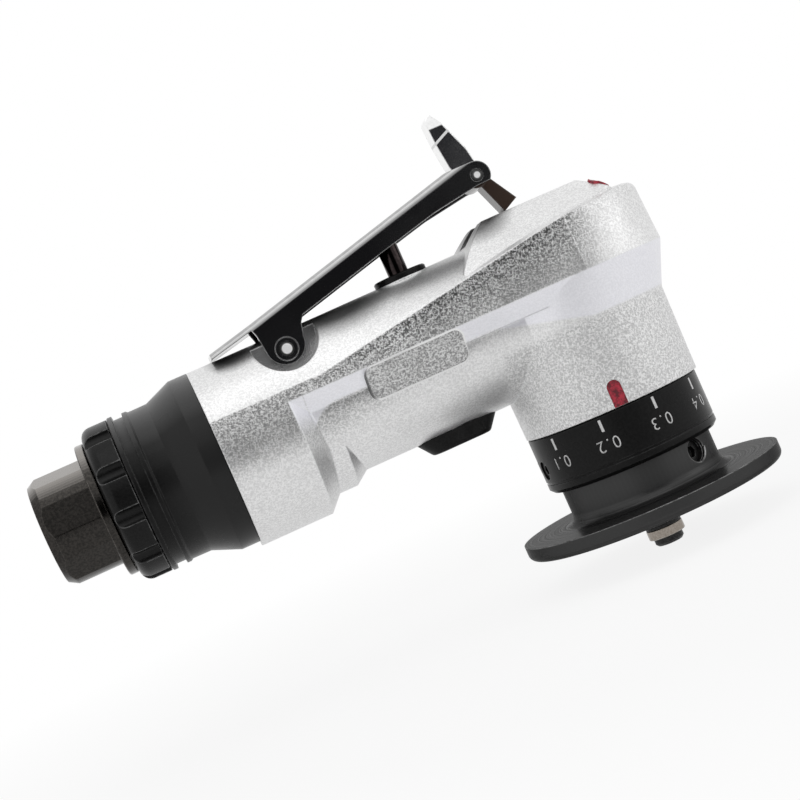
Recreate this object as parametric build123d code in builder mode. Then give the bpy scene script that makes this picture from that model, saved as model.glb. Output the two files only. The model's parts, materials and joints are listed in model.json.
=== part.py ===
from build123d import *
import os
from math import atan2, cos, radians, sin, sqrt, tan

# Right-angle pneumatic chamfering tool, in millimetres.
# The origin is the centre of the guide plate's underside. +Z runs up the spindle, +X points at the nose,
# and the handle, which carries the throttle lever on top and the air inlet at its end, lies along -X.

# Guide plate and its hub
PLATE_R = 30.0
PLATE_T = 3.6
PLATE_EDGE_ROUND = 1.5
PLATE_BORE_R = 9.5
PLATE_FLOOR_Z = 4.8
HUB_R = 17.4
HUB_ROOT_ROUND = 2.5
HUB_STEP_Z = 14.5
HUB_THREAD_R = 16.6
HUB_TOP_Z = 20.4
HUB_BORE_R = 14.3
HUB_SCREW_R = 2.65
HUB_SCREW_Z = 9.3
HUB_SCREW_ANGLE = 34.9
HUB_SCREW_SINK = 1.6

# Depth ring, which screws on the hub and carries the scale
RING_R = 19.82
RING_LOW_Z = 12.0
RING_TOP_Z = 24.75
RING_LIP_R = 19.0
RING_LIP_TOP_Z = 14.1
RING_GROOVE_R = 19.45
RING_GROOVE_W = 0.55
RING_EDGE = 0.25
RING_MOUTH_R = 17.6
RING_THREAD_R = 16.7
RING_THREAD_LOW_Z = 15.4
RING_FLANGE_LOW_Z = 22.5
RING_FLANGE_BORE_R = 14.4
RING_HOLE_R = 2.15
RING_HOLE_Z = 17.6
RING_HOLE_ANGLE = -84.0

# Nose sleeve, which clamps the motor and carries ring and hub
SLEEVE_R = 14.2
SLEEVE_BORE_R = 11.2
SLEEVE_LOW_Z = 6.2
SLEEVE_NUT_R = 16.95
RETAINER_LOW_Z = 21.4
RETAINER_T = 0.9
RETAINER_R = 16.2
RETAINER_SEAT_R = 13.4
RETAINER_GAP = 40.0
GUIDE_PIN_R = 1.15
GUIDE_PIN_Z = 17.4
GUIDE_SLOT_R = 15.9
GUIDE_SLOT_HALF = 1.3
GUIDE_SLOT_LOW_Z = 14.8

# Motor stack, bottom to top
HEAD_LOW_Z = 24.95
LOWER_BEARING_R = 11.0
LOWER_BEARING_LOW_Z = 26.0
LOWER_BEARING_W = 7.0
MOTOR_R = 16.95
MOTOR_LOW_Z = 33.0
END_PLATE_T = 4.0
LINER_L = 22.0
LINER_BORE_R = 13.6
LINER_OFFSET = 1.55
ROTOR_R = 11.9
ROTOR_END_GAP = 0.1
VANE_COUNT = 5
VANE_SLOT_W = 1.6
VANE_SLOT_R = 5.6
VANE_W = 1.45
VANE_TIP_R = 11.85
SHAFT_R = 4.0
UPPER_SHAFT_R = 3.5
UPPER_BEARING_R = 9.5
UPPER_BEARING_W = 6.0
RACE_GAP = 0.15
FIT = 0.05

# Cutter and its pilot bearing
CUTTER_SEAT_Z = 16.0
STUD_R = 3.0
STUD_LOW_Z = 8.5
CUTTER_SHANK_R = 5.6
CUTTER_R = 8.6
CUTTER_TOP_Z = 7.2
CUTTER_CONE_TOP_Z = 4.35
CUTTER_TIP_R = 2.4
CUTTER_TIP_Z = -4.15
CUTTER_SHOULDER_R = 4.1
CUTTER_SHOULDER_Z = -2.9
FLUTE_COUNT = 4
FLUTE_W = 2.4
FLUTE_DEPTH = 2.6
PILOT_R = 4.2
PILOT_W = 2.2
PILOT_TOP_Z = -4.2
PILOT_SCREW_R = 1.5
PILOT_HEAD_R = 3.3
PILOT_HEAD_H = 1.8
PILOT_SOCKET_R = 1.15

# Housing: rear barrel, grip, upper body and head
BARREL_R = 20.15
BARREL_Z = 48.35
BARREL_REAR_X = -82.2
STEP_X = -65.6
STEP_END_X = -62.6
STEP_R = 17.0
HEEL_R = 14.5
HEEL_Z = 46.0
HEEL_X = -58.2
HEEL_END_X = -54.6
GRIP_R = 16.3
GRIP_Z = 50.1
BEVEL_LOW_Z = 50.0
SHOULDER_Z = 54.0
FLANK_X = -57.0
FLANK_CREASE_Z = 56.5
FLANK_NOSE_CREASE_Z = 66.25
FLANK_TOP_Z = 68.85
NOSE_X = 2.1
NOSE_R = 22.6
NOSE_TOP_R = 22.0
NOSE_TOP_Z = 67.9
NOSE_RIM_R = 2.0
HEAD_X = 0.2
HEAD_R = 20.2
HEAD_DRAFT_R = 20.5
HEAD_BEVEL_Z = 44.1
CROWN_HALF = 10.5
CROWN_TOP_Z = 72.65
CROWN_EDGE_ROUND = 5.0
CROWN_FRONT_R = 20.1
CROWN_REAR_X = -11.8
CROWN_REAR_BEND_X = -17.5
CROWN_REAR_BEND_Z = 67.9
CROWN_REAR_FOOT_X = -21.6
CROWN_REAR_FOOT_Z = 63.4
CROWN_FRONT_X = 10.3
CROWN_FRONT_FOOT_X = 16.0
MOTOR_BORE_R = 17.0
LABEL_PAD_X = -38.0
LABEL_PAD_Y = 18.7
LABEL_PAD_Z = 50.2
LABEL_PAD_LEAN = 3.0
LABEL_PAD_L = 22.2
LABEL_PAD_H = 6.9
LABEL_PAD_ROUND = 2.0
INDEX_ANGLE = -6.6
INDEX_W = 3.1
INDEX_TOP_Z = 30.7
INDEX_DEPTH = 0.3

# Lever, its pivot and the lock lever on its front end
PIVOT_X = -60.72
PIVOT_Z = 64.44
POCKET_R = 7.4
POCKET_Z = 66.9
POCKET_HALF = 7.0
LEVER_HALF = 8.5
LEVER_T = 1.4
LEVER_BEND_R = 1.9
LEVER_TAIL_X = -76.2
LEVER_TAIL_Z = 69.9
LEVER_BREAK_X = -66.0
LEVER_BREAK_Z = 72.3
LEVER_SLOPE = 14.2
LEVER_WEB_END_X = -13.0
LEVER_NOSE_R = 3.1
EAR_R = 4.3
EAR_Z = 65.4
EAR_HALF = 5.1
PIN_SINK_R = 2.5
PIN_SINK_DEPTH = 0.35
PIN_END_ROUND = 0.6
LEVER_SHOULDER_X = -14.6
LEVER_PIN_R = 1.5
LOCK_X = -8.28
LOCK_Z = 82.11
LOCK_PIN_R = 1.25
LOCK_HALF = 3.0
LOCK_HUB_HALF = 6.7
LOCK_LEG_HALF = 3.0
LOCK_T = 1.0
LOCK_TIP_ROUND = 0.6
LOCK_BEVEL_Z = 95.6
LOCK_BEVEL_DEPTH = 0.9
LOCK_BEVEL_TOP_Z = 99.5
NOTCH_HALF = 4.1
LOCK_HUB_R = 2.6
LOCK_SPRING_LOW_Y = 3.1
LOCK_SPRING_R = 1.95
LOCK_SPRING_WIRE_R = 0.2
LOCK_SPRING_PITCH = 0.85
LOCK_SPRING_TURNS = 2
LOCK_ARM = [
    (-10.6, 81.3),
    (-12.1, 86.6),
    (-12.75, 92.0),
    (-13.05, 97.6),
    (-11.5, 99.0),
    (-9.85, 96.4),
    (-6.85, 88.7),
    (-5.9, 83.2),
]
LOCK_ARM_HOLLOW = [
    (-9.6, 80.0),
    (-11.0, 86.6),
    (-11.7, 92.0),
    (-12.0, 96.2),
    (-9.0, 98.5),
    (-4.0, 90.0),
    (-4.0, 80.0),
]
LOCK_LEG = [(-7.2, 79.7), (-4.62, 72.9), (-1.1, 74.7), (-4.6, 80.5), (-6.5, 82.5), (-9.5, 82.0)]
NOTCH = [
    (-1.8, 74.5),
    (-2.3, 72.4),
    (-3.2, 71.5),
    (-4.6, 70.6),
    (-6.5, 69.7),
    (-8.6, 69.25),
    (-10.0, 69.15),
    (-18.0, 69.15),
    (-18.0, 76.0),
]

# Valve in the handle, under the lever
VALVE_X = -31.25
VALVE_BORE_R = 4.8
BUSH_FLANGE_R = 6.0
BUSH_LOW_Z = 57.8
BUSH_FLANGE_Z = 68.0
BUSH_TOP_Z = 69.8
BUSH_LAND_R = 7.4
BUSH_LAND_Z = 68.35
STEM_R = 2.3
STEM_TOP_Z = 79.3
STEM_NECK_R = 1.6
SEAT_Z = 50.5
SEAT_T = 2.0
SEAT_BORE_R = 3.0
POPPET_R = 3.7
POPPET_T = 1.5
SEAL_T = 0.5
SPRING_R = 2.9
SPRING_WIRE_R = 0.4
SPRING_TURNS = 4
PLUG_TOP_Z = 39.0
BELLY_X = -33.5
BELLY_L = 19.5
BELLY_LOW_L = 13.6
BELLY_HALF = 4.2
BELLY_LOW_Z = 30.5
BELLY_TOP_Z = 35.6

# Exhaust collar, regulator ring and air inlet on the handle's axis
REAR_Z = 48.9
SPIGOT_R = 15.2
SPIGOT_X = -91.0
COLLAR_R = 19.65
COLLAR_FLARE_X = -86.4
COLLAR_NECK_X = -92.5
COLLAR_NECK_R = 17.1
COLLAR_BORE_R = 15.25
COLLAR_WALL_X = -99.6
COLLAR_END_X = -101.5
RIDGE_W = 0.9
FRONT_RIDGE_X = -97.65
FRONT_RIDGE_R = 17.45
REAR_RIDGE_X = -100.85
REAR_RIDGE_R = 17.7
EXHAUST_HOLES = 12
EXHAUST_HOLE_R = 1.2
EXHAUST_CIRCLE_R = 13.2
REGULATOR_R = 17.55
REGULATOR_FRONT_X = -101.75
REGULATOR_REAR_X = -108.0
REGULATOR_ROUND = 2.4
LOBE_COUNT = 11
LOBE_GAP_R = 2.0
LOBE_TURN = 26.8
LOBE_DEPTH = 1.3
FLANGE_R = 14.9
FLANGE_X = -108.2
FLANGE_T = 1.9
HEX_FLATS = 23.0
HEX_LAND_R = 12.0
HEX_END_X = -122.5
HEX_TURN = 17.6
HEX_CHAMFER_R = 10.9
HEX_CHAMFER_L = 1.9
JOURNAL_R = 10.9
JOURNAL_X = -101.55
INLET_SHANK_R = 8.4
INLET_SHANK_X = -84.0
INLET_THREAD_R = 5.9
INLET_THREAD_L = 12.0
INLET_RELIEF_R = 6.4
INLET_RELIEF_L = 1.4
INLET_BORE_R = 4.2
STRAINER_R = 3.9
STRAINER_T = 0.9
STRAINER_L = 18.0
SEAL_R = 0.75
COLLAR_SEAL_X = -87.5
INLET_SEAL_X = -86.5

# Air passages in the housing
INLET_GALLERY_Z = 46.3
INLET_GALLERY_R = 3.0
MOTOR_PORT_Y = 4.0
MOTOR_PORT_Z = 55.0
MOTOR_PORT_R = 2.2
EXHAUST_Y = 9.5
EXHAUST_Z = 41.6
EXHAUST_R = 2.4

SPINDLE = Axis.Z
NOSE_AXIS = Axis((NOSE_X, 0, 0), (0, 0, 1))
REAR_AXIS = Axis((0, 0, REAR_Z), (1, 0, 0))
BARREL_AXIS = Axis((0, 0, BARREL_Z), (1, 0, 0))
HEEL_AXIS = Axis((0, 0, HEEL_Z), (1, 0, 0))
VALVE_AXIS = Axis((VALVE_X, 0, 0), (0, 0, 1))


def outline(points, plane=Plane.XZ):
    """Closed straight-sided profile on the plane."""
    with BuildSketch(plane) as shape:
        with BuildLine():
            Polyline(*points, close=True)
        make_face()
    return shape.sketch


def ring_profile(inner, outer, low, high, centre_x=0.0):
    """Upright rectangle that turns into a ring about the spindle or the valve axis."""
    return outline(
        [
            (centre_x + inner, low),
            (centre_x + outer, low),
            (centre_x + outer, high),
            (centre_x + inner, high),
        ]
    )


def rear_profile(points):
    """Profile given as (x, radius) about the handle's rear axis."""
    return outline([(x, REAR_Z + radius) for x, radius in points])


def disc(radius, centre_x, z):
    """Level circle on the handle's centre plane."""
    with BuildSketch(Plane.XY.offset(z)) as face:
        with Locations((centre_x, 0)):
            Circle(radius)
    return face.sketch


def pad_face(length, width, corner, z):
    """Level rounded rectangle under the grip."""
    with BuildSketch(Plane.XY.offset(z)) as face:
        with Locations((BELLY_X, 0)):
            RectangleRounded(length, width, corner)
    return face.sketch


def radial_plane(angle, radius, z):
    """Plane that faces outwards from the spindle; the angle runs from -Y towards +X."""
    out = (sin(radians(angle)), -cos(radians(angle)), 0)
    across = (cos(radians(angle)), sin(radians(angle)), 0)
    return Plane(origin=(radius * out[0], radius * out[1], z), x_dir=across, z_dir=out)


def lever_top(x):
    """Height of the lever's top line."""
    return LEVER_BREAK_Z + (x - LEVER_BREAK_X) * tan(radians(LEVER_SLOPE))


def coil_points(radius, pitch, turns, place):
    """Quarter-turn points of a spring that climbs along the normal of its place."""
    points = []
    for quarter in range(4 * turns + 1):
        angle = radians(90 * quarter)
        points.append(place.from_local_coords((radius * cos(angle), radius * sin(angle), pitch * quarter / 4)))
    return points


os.makedirs("parts", exist_ok=True)
pieces = {}

# Guide plate: broad sliding plate, hub with a threaded upper end, key slot and clamp-screw hole
with BuildPart() as guide_plate:
    with BuildSketch(Plane.XZ) as plate_half:
        with BuildLine():
            Polyline(
                (PLATE_BORE_R, 0),
                (PLATE_R, 0),
                (PLATE_R, PLATE_T),
                (HUB_R, PLATE_T),
                (HUB_R, HUB_STEP_Z),
                (HUB_THREAD_R, HUB_STEP_Z),
                (HUB_THREAD_R, HUB_TOP_Z),
                (HUB_BORE_R, HUB_TOP_Z),
                (HUB_BORE_R, PLATE_FLOOR_Z),
                (PLATE_BORE_R, PLATE_FLOOR_Z),
                close=True,
            )
        make_face()
        fillet(plate_half.vertices().sort_by_distance((HUB_R, PLATE_T))[0], HUB_ROOT_ROUND)
        fillet(plate_half.vertices().sort_by_distance((PLATE_R, 0))[0], PLATE_EDGE_ROUND)
    revolve(axis=SPINDLE)
    with BuildSketch(radial_plane(HUB_SCREW_ANGLE, HUB_R + 1, HUB_SCREW_Z)):
        Circle(HUB_SCREW_R)
    extrude(amount=-(HUB_R - HUB_BORE_R + 2), mode=Mode.SUBTRACT)
    with BuildSketch(Plane.XY.offset(GUIDE_SLOT_LOW_Z)):
        with Locations((0, (HUB_BORE_R - 1 + GUIDE_SLOT_R) / 2)):
            Rectangle(2 * GUIDE_SLOT_HALF, GUIDE_SLOT_R - HUB_BORE_R + 1)
    extrude(amount=HUB_TOP_Z - GUIDE_SLOT_LOW_Z + 1, mode=Mode.SUBTRACT)
pieces["guide_plate"] = guide_plate

# Clamp screw in the hub, a headless screw with a hexagon socket
with BuildPart() as hub_lock_screw:
    with BuildSketch(radial_plane(HUB_SCREW_ANGLE, SLEEVE_R + FIT * 3, HUB_SCREW_Z)):
        Circle(HUB_SCREW_R - FIT)
    extrude(amount=HUB_R - SLEEVE_R - HUB_SCREW_SINK - 0.2)
    with BuildSketch(radial_plane(HUB_SCREW_ANGLE, HUB_R - HUB_SCREW_SINK, HUB_SCREW_Z)):
        RegularPolygon(HUB_SCREW_R * 0.52, 6)
    extrude(amount=-1.2, mode=Mode.SUBTRACT)
pieces["hub_lock_screw"] = hub_lock_screw

# Depth ring with a lower lip, an inner flange and a tommy-bar hole
with BuildPart() as scale_ring:
    revolve(
        outline(
            [
                (RING_MOUTH_R, RING_LOW_Z),
                (RING_LIP_R, RING_LOW_Z),
                (RING_R, RING_LOW_Z + RING_R - RING_LIP_R),
                (RING_R, RING_LIP_TOP_Z),
                (RING_GROOVE_R, RING_LIP_TOP_Z),
                (RING_GROOVE_R, RING_LIP_TOP_Z + RING_GROOVE_W),
                (RING_R, RING_LIP_TOP_Z + RING_GROOVE_W),
                (RING_R, RING_TOP_Z - RING_EDGE),
                (RING_R - RING_EDGE, RING_TOP_Z),
                (RING_FLANGE_BORE_R, RING_TOP_Z),
                (RING_FLANGE_BORE_R, RING_FLANGE_LOW_Z),
                (RING_THREAD_R, RING_FLANGE_LOW_Z),
                (RING_THREAD_R, RING_THREAD_LOW_Z),
                (RING_MOUTH_R, RING_THREAD_LOW_Z),
            ]
        ),
        axis=SPINDLE,
    )
    with BuildSketch(radial_plane(RING_HOLE_ANGLE, RING_R + 1, RING_HOLE_Z)):
        Circle(RING_HOLE_R)
    extrude(amount=-2.8, mode=Mode.SUBTRACT)
pieces["scale_ring"] = scale_ring

# Grub screw in the ring's radial hole
with BuildPart() as ring_screw:
    screw_foot_r = RING_R - 1.75
    with BuildSketch(radial_plane(RING_HOLE_ANGLE, screw_foot_r, RING_HOLE_Z)):
        Circle(RING_HOLE_R - FIT)
    extrude(amount=1.25)
    with BuildSketch(radial_plane(RING_HOLE_ANGLE, screw_foot_r + 1.25, RING_HOLE_Z)):
        RegularPolygon(RING_HOLE_R * 0.52, 6)
    extrude(amount=-0.8, mode=Mode.SUBTRACT)
pieces["ring_screw"] = ring_screw

# Nose sleeve: clamp nut above, lower bearing seat, and the tube that ring and hub run on
with BuildPart() as nose_sleeve:
    revolve(
        outline(
            [
                (SLEEVE_BORE_R, SLEEVE_LOW_Z),
                (SLEEVE_R, SLEEVE_LOW_Z),
                (SLEEVE_R, RETAINER_LOW_Z - FIT),
                (RETAINER_SEAT_R, RETAINER_LOW_Z - FIT),
                (RETAINER_SEAT_R, RETAINER_LOW_Z + RETAINER_T + FIT),
                (SLEEVE_R, RETAINER_LOW_Z + RETAINER_T + FIT),
                (SLEEVE_R, HEAD_LOW_Z),
                (SLEEVE_NUT_R, HEAD_LOW_Z),
                (SLEEVE_NUT_R, MOTOR_LOW_Z),
                (LOWER_BEARING_R + FIT, MOTOR_LOW_Z),
                (LOWER_BEARING_R + FIT, LOWER_BEARING_LOW_Z),
                (LOWER_BEARING_R - 2.5, LOWER_BEARING_LOW_Z),
                (LOWER_BEARING_R - 2.5, LOWER_BEARING_LOW_Z - 2.0),
                (SLEEVE_BORE_R, LOWER_BEARING_LOW_Z - 2.0),
            ]
        ),
        axis=SPINDLE,
    )
    with BuildSketch(Plane.XZ.offset(-SLEEVE_R - 1)):
        with Locations((0, GUIDE_PIN_Z)):
            Circle(GUIDE_PIN_R + FIT / 2)
    extrude(amount=SLEEVE_R - SLEEVE_BORE_R + 2, mode=Mode.SUBTRACT)
pieces["nose_sleeve"] = nose_sleeve

# Open retaining ring that keeps the depth ring on the sleeve
with BuildPart() as ring_retainer:
    revolve(
        ring_profile(RETAINER_SEAT_R + FIT, RETAINER_R, RETAINER_LOW_Z, RETAINER_LOW_Z + RETAINER_T),
        axis=SPINDLE,
        revolution_arc=360 - RETAINER_GAP,
    )
pieces["ring_retainer"] = ring_retainer

# Key that lets the hub slide but not turn
with BuildPart() as guide_pin:
    with BuildSketch(Plane.XZ.offset(-SLEEVE_BORE_R - 0.3)):
        with Locations((0, GUIDE_PIN_Z)):
            Circle(GUIDE_PIN_R)
    extrude(amount=-(GUIDE_SLOT_R - SLEEVE_BORE_R - 0.7))
pieces["guide_pin"] = guide_pin

# Shielded ball bearings: a race that stays with the housing and a race that turns with the shaft
BEARINGS = {
    "lower_bearing": (SHAFT_R, LOWER_BEARING_R, LOWER_BEARING_LOW_Z, LOWER_BEARING_W),
    "upper_bearing": (
        UPPER_SHAFT_R,
        UPPER_BEARING_R,
        MOTOR_LOW_Z + 2 * END_PLATE_T + LINER_L,
        UPPER_BEARING_W,
    ),
    "pilot_bearing": (PILOT_SCREW_R, PILOT_R, PILOT_TOP_Z - PILOT_W, PILOT_W),
}
for bearing, (bore_r, outer_r, low_z, width) in BEARINGS.items():
    inner_race_r = bore_r + 0.3 * (outer_r - bore_r)
    with BuildPart() as outer_race:
        revolve(ring_profile(inner_race_r + RACE_GAP, outer_r, low_z, low_z + width), axis=SPINDLE)
        rims = outer_race.edges().filter_by(GeomType.CIRCLE).sort_by(SortBy.RADIUS)[-2:]
        chamfer(rims, 0.06 * width)
    with BuildPart() as inner_race:
        revolve(ring_profile(bore_r + FIT / 2, inner_race_r, low_z, low_z + width), axis=SPINDLE)
    pieces[f"{bearing}_outer"] = outer_race
    pieces[f"{bearing}_inner"] = inner_race

# Motor end plates, bored for the shaft
LINER_LOW_Z = MOTOR_LOW_Z + END_PLATE_T
LINER_TOP_Z = LINER_LOW_Z + LINER_L
UPPER_BEARING_LOW_Z = LINER_TOP_Z + END_PLATE_T
with BuildPart() as lower_end_plate:
    revolve(ring_profile(SHAFT_R + 0.3, MOTOR_R, MOTOR_LOW_Z, LINER_LOW_Z), axis=SPINDLE)
pieces["lower_end_plate"] = lower_end_plate
with BuildPart() as upper_end_plate:
    revolve(ring_profile(UPPER_SHAFT_R + 0.3, MOTOR_R, LINER_TOP_Z, UPPER_BEARING_LOW_Z), axis=SPINDLE)
pieces["upper_end_plate"] = upper_end_plate

# Cylinder liner with its bore set off the spindle, an inlet port and a row of exhaust ports
with BuildPart() as cylinder_liner:
    with BuildSketch(Plane.XY.offset(LINER_LOW_Z)):
        Circle(MOTOR_R)
        with Locations((LINER_OFFSET, 0)):
            Circle(LINER_BORE_R, mode=Mode.SUBTRACT)
    extrude(amount=LINER_L)
    with BuildSketch(Plane.YZ.offset(-MOTOR_R - 1)):
        with Locations((-MOTOR_PORT_Y, MOTOR_PORT_Z)):
            Circle(MOTOR_PORT_R)
        with Locations((EXHAUST_Y, EXHAUST_Z)):
            Circle(EXHAUST_R)
    extrude(amount=MOTOR_R, mode=Mode.SUBTRACT)
pieces["cylinder_liner"] = cylinder_liner

# Rotor and spindle in one piece: slotted drum, bearing journals and the stud for the cutter
with BuildPart() as rotor:
    revolve(
        outline(
            [
                (0, STUD_LOW_Z),
                (STUD_R, STUD_LOW_Z),
                (STUD_R, CUTTER_SEAT_Z),
                (SHAFT_R, CUTTER_SEAT_Z),
                (SHAFT_R, LINER_LOW_Z + ROTOR_END_GAP),
                (ROTOR_R, LINER_LOW_Z + ROTOR_END_GAP),
                (ROTOR_R, LINER_TOP_Z - ROTOR_END_GAP),
                (UPPER_SHAFT_R, LINER_TOP_Z - ROTOR_END_GAP),
                (UPPER_SHAFT_R, UPPER_BEARING_LOW_Z + UPPER_BEARING_W - 0.2),
                (0, UPPER_BEARING_LOW_Z + UPPER_BEARING_W - 0.2),
            ]
        ),
        axis=SPINDLE,
    )
    with BuildSketch(Plane.XY.offset(LINER_LOW_Z)):
        with PolarLocations((VANE_SLOT_R + ROTOR_R + 1) / 2, VANE_COUNT):
            Rectangle(ROTOR_R + 1 - VANE_SLOT_R, VANE_SLOT_W)
    extrude(amount=LINER_L, mode=Mode.SUBTRACT)
pieces["rotor"] = rotor

# Vanes, drawn in flush with the rotor
with BuildPart() as vanes:
    with BuildSketch(Plane.XY.offset(LINER_LOW_Z + 2 * ROTOR_END_GAP)):
        with PolarLocations((VANE_SLOT_R + 0.3 + VANE_TIP_R) / 2, VANE_COUNT):
            Rectangle(VANE_TIP_R - VANE_SLOT_R - 0.3, VANE_W)
    extrude(amount=LINER_L - 4 * ROTOR_END_GAP)
pieces["vanes"] = vanes

# Chamfer cutter: threaded shank, body and a fluted 45 degree cone that narrows to the pilot
with BuildPart() as chamfer_cutter:
    cone_low_z = CUTTER_CONE_TOP_Z - (CUTTER_R - CUTTER_TIP_R)
    revolve(
        outline(
            [
                (0, CUTTER_TIP_Z),
                (CUTTER_SHOULDER_R, CUTTER_TIP_Z),
                (CUTTER_SHOULDER_R, CUTTER_SHOULDER_Z),
                (CUTTER_TIP_R, CUTTER_SHOULDER_Z + 0.3),
                (CUTTER_TIP_R, cone_low_z),
                (CUTTER_R, CUTTER_CONE_TOP_Z),
                (CUTTER_R, CUTTER_TOP_Z),
                (CUTTER_SHANK_R, CUTTER_TOP_Z + 1.5),
                (CUTTER_SHANK_R, CUTTER_SEAT_Z),
                (0, CUTTER_SEAT_Z),
            ]
        ),
        axis=SPINDLE,
    )
    with BuildSketch(Plane.XY.offset(STUD_LOW_Z - 0.5)):
        Circle(STUD_R + FIT)
    extrude(amount=CUTTER_SEAT_Z - STUD_LOW_Z + 1, mode=Mode.SUBTRACT)
    with BuildSketch(Plane.XY.offset(CUTTER_TIP_Z)):
        Circle(PILOT_SCREW_R + FIT)
    extrude(amount=6.5, mode=Mode.SUBTRACT)
    flute_foot = Plane.XZ.offset(-FLUTE_W)
    for flute in range(FLUTE_COUNT):
        with BuildSketch(Plane.XZ.rotated((0, 0, 360 * flute / FLUTE_COUNT))):
            with BuildLine():
                Polyline(
                    (CUTTER_R + 1, CUTTER_CONE_TOP_Z + 1.8),
                    (CUTTER_R - FLUTE_DEPTH, CUTTER_CONE_TOP_Z + 1.8 - FLUTE_DEPTH),
                    (CUTTER_TIP_R + 0.4, cone_low_z - 0.5),
                    (CUTTER_R + 1, cone_low_z - 0.5),
                    close=True,
                )
            make_face()
        extrude(amount=FLUTE_W, mode=Mode.SUBTRACT)
pieces["chamfer_cutter"] = chamfer_cutter

# Screw that holds the pilot bearing on the cutter
with BuildPart() as pilot_screw:
    head_top_z = PILOT_TOP_Z - PILOT_W
    with BuildSketch(Plane.XY.offset(head_top_z - PILOT_HEAD_H)) as head_face:
        Circle(PILOT_HEAD_R)
    extrude(amount=PILOT_HEAD_H)
    chamfer(pilot_screw.edges().filter_by(GeomType.CIRCLE).sort_by(Axis.Z)[0], 0.5)
    with BuildSketch(Plane.XY.offset(head_top_z)):
        Circle(PILOT_SCREW_R)
    extrude(amount=PILOT_W + 5.0)
    with BuildSketch(Plane.XY.offset(head_top_z - PILOT_HEAD_H)):
        RegularPolygon(PILOT_SOCKET_R, 6)
    extrude(amount=0.8, mode=Mode.SUBTRACT)
pieces["pilot_screw"] = pilot_screw


def body_section(x, low_half, shoulder_half, crease_half, crease_z, top_z):
    """Cross-section of the upper body: bevelled underside, side walls and a crowned top."""
    with BuildSketch(Plane.YZ.offset(x)) as section:
        with BuildLine():
            Polyline(
                (crease_half, crease_z),
                (shoulder_half, SHOULDER_Z),
                (low_half, BEVEL_LOW_Z),
                (-low_half, BEVEL_LOW_Z),
                (-shoulder_half, SHOULDER_Z),
                (-crease_half, crease_z),
            )
            ThreePointArc((-crease_half, crease_z), (0, top_z), (crease_half, crease_z))
        make_face()
    return section.sketch


def crown_section(x, crease_half, crease_z):
    """Cross-section of the raised crown over the motor."""
    with BuildSketch(Plane.YZ.offset(x)) as section:
        with BuildLine():
            Polyline(
                (crease_half, crease_z),
                (crease_half - 1, SHOULDER_Z + 2),
                (1 - crease_half, SHOULDER_Z + 2),
                (-crease_half, crease_z),
                (-CROWN_HALF, CROWN_TOP_Z),
                (CROWN_HALF, CROWN_TOP_Z),
                close=True,
            )
        make_face()
        fillet(section.vertices().group_by(Axis.Y)[-1], CROWN_EDGE_ROUND)
    return section.sketch


def barrel_half(z):
    """Half width of the rear barrel at a height."""
    return sqrt(BARREL_R**2 - (z - BARREL_Z) ** 2)


def flank(rear, front, x):
    """Value that runs straight from the rear of the flank to the nose axis, carried on in front of it."""
    return rear + (front - rear) * (x - FLANK_X) / (NOSE_X - FLANK_X)


# Crown over the motor: sloped flanks, ramps at both ends and a rounded front that follows the nose
crease_rear = barrel_half(FLANK_CREASE_Z)
shoulder_rear = barrel_half(SHOULDER_Z)
crease_nose = NOSE_R - (NOSE_R - NOSE_TOP_R) * 0.8
crown_rear_x = CROWN_REAR_FOOT_X - 3
crown_rear_half = flank(crease_rear, crease_nose, crown_rear_x)
crown_rear_z = flank(FLANK_CREASE_Z, FLANK_NOSE_CREASE_Z, crown_rear_x)
crown_rear = crown_section(crown_rear_x, crown_rear_half, crown_rear_z)
crown_middle = crown_section(NOSE_X, CROWN_FRONT_R, FLANK_NOSE_CREASE_Z + 0.4)
crown_front = crown_section(NOSE_X + NOSE_R, CROWN_HALF + 4, NOSE_TOP_Z)
with BuildPart() as crown:
    loft([crown_rear, crown_middle], ruled=True)
    loft([crown_middle, crown_front], ruled=True)
    with BuildSketch(Plane.XZ):
        with BuildLine():
            rear_ramp = ThreePointArc(
                (CROWN_REAR_FOOT_X, CROWN_REAR_FOOT_Z),
                (CROWN_REAR_BEND_X, CROWN_REAR_BEND_Z),
                (CROWN_REAR_X, CROWN_TOP_Z - 0.1),
            )
            Polyline(
                rear_ramp @ 1,
                (CROWN_FRONT_X, CROWN_TOP_Z + 0.15),
                (CROWN_FRONT_FOOT_X, NOSE_TOP_Z),
                (CROWN_FRONT_FOOT_X, SHOULDER_Z),
                (CROWN_REAR_FOOT_X, SHOULDER_Z),
                rear_ramp @ 0,
            )
        make_face()
    extrude(amount=30, both=True, mode=Mode.INTERSECT)
    front_round = outline(
        [
            (-CROWN_FRONT_R, SHOULDER_Z),
            (-CROWN_FRONT_R, CROWN_TOP_Z + 4),
            (-2 * NOSE_R, CROWN_TOP_Z + 4),
            (-2 * NOSE_R, SHOULDER_Z),
        ],
        Plane.YZ.offset(NOSE_X),
    )
    revolve(front_round, axis=NOSE_AXIS, revolution_arc=180, mode=Mode.SUBTRACT)

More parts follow.
